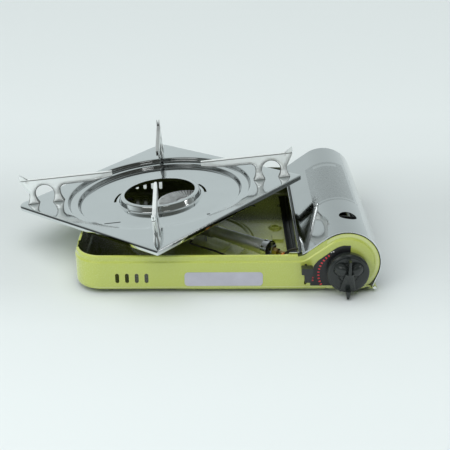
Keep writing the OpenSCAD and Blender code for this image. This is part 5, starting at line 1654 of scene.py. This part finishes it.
class STOVE_OT_supports(StoveOperator, Operator):
    """Builds the four pan supports"""
    bl_idname, bl_label = "stove.supports", "Pan supports"
    maker = make_supports


class STOVE_OT_burner(StoveOperator, Operator):
    """Builds the ribbed burner head"""
    bl_idname, bl_label = "stove.burner", "Burner head"
    maker = make_burner


class STOVE_OT_leads(StoveOperator, Operator):
    """Builds the ignition cable and the gas tube"""
    bl_idname, bl_label = "stove.leads", "Cable and gas tube"
    maker = make_leads


class STOVE_OT_knob(StoveOperator, Operator):
    """Builds the control knob"""
    bl_idname, bl_label = "stove.knob", "Control knob"
    maker = make_knob


class STOVE_OT_lever_cap(StoveOperator, Operator):
    """Builds the lock lever's cap"""
    bl_idname, bl_label = "stove.lever_cap", "Lever cap"
    maker = make_lever_cap


class STOVE_OT_dial(StoveOperator, Operator):
    """Builds the dial's marks"""
    bl_idname, bl_label = "stove.dial", "Dial marks"
    maker = make_dial


class STOVE_OT_screws(StoveOperator, Operator):
    """Builds the rivet and screw heads"""
    bl_idname, bl_label = "stove.screws", "Rivets and screws"
    maker = make_screws


OPERATORS = (STOVE_OT_stage, STOVE_OT_solids, STOVE_OT_pan, STOVE_OT_cover, STOVE_OT_shield,
             STOVE_OT_tray, STOVE_OT_supports, STOVE_OT_burner, STOVE_OT_leads, STOVE_OT_knob,
             STOVE_OT_lever_cap, STOVE_OT_dial, STOVE_OT_screws)


class STOVE_PT_panel(Panel):
    """The stove's sizes, colours and builders"""
    bl_label, bl_idname = "Cassette stove", "STOVE_PT_panel"
    bl_space_type, bl_region_type, bl_category = "VIEW_3D", "UI", "Stove"

    def draw(self, context):
        """Shows every size and colour, then a button for every builder."""
        for look in looks_of(context.scene).values():
            box = self.layout.box()
            for key in look.bl_rna.properties.keys():
                if key not in {"rna_type", "name"}:
                    box.prop(look, key)
        for operator in OPERATORS:
            self.layout.operator(operator.bl_idname)


def register():
    """Adds the looks to the scene, and the operators and the panel to Blender."""
    for name, group in LOOKS.items():
        bpy.utils.register_class(group)
        setattr(bpy.types.Scene, "stove_" + name, PointerProperty(type=group))
    for operator in OPERATORS:
        bpy.utils.register_class(operator)
    bpy.utils.register_class(STOVE_PT_panel)


def unregister():
    """Takes away what register added."""
    bpy.utils.unregister_class(STOVE_PT_panel)
    for operator in reversed(OPERATORS):
        bpy.utils.unregister_class(operator)
    for name, group in LOOKS.items():
        delattr(bpy.types.Scene, "stove_" + name)
        bpy.utils.unregister_class(group)


def main():
    """Builds the whole stove and its stage."""
    register()
    for operator in OPERATORS:
        family, name = operator.bl_idname.split(".")
        getattr(getattr(bpy.ops, family), name)()


if __name__ == "__main__":
    main()
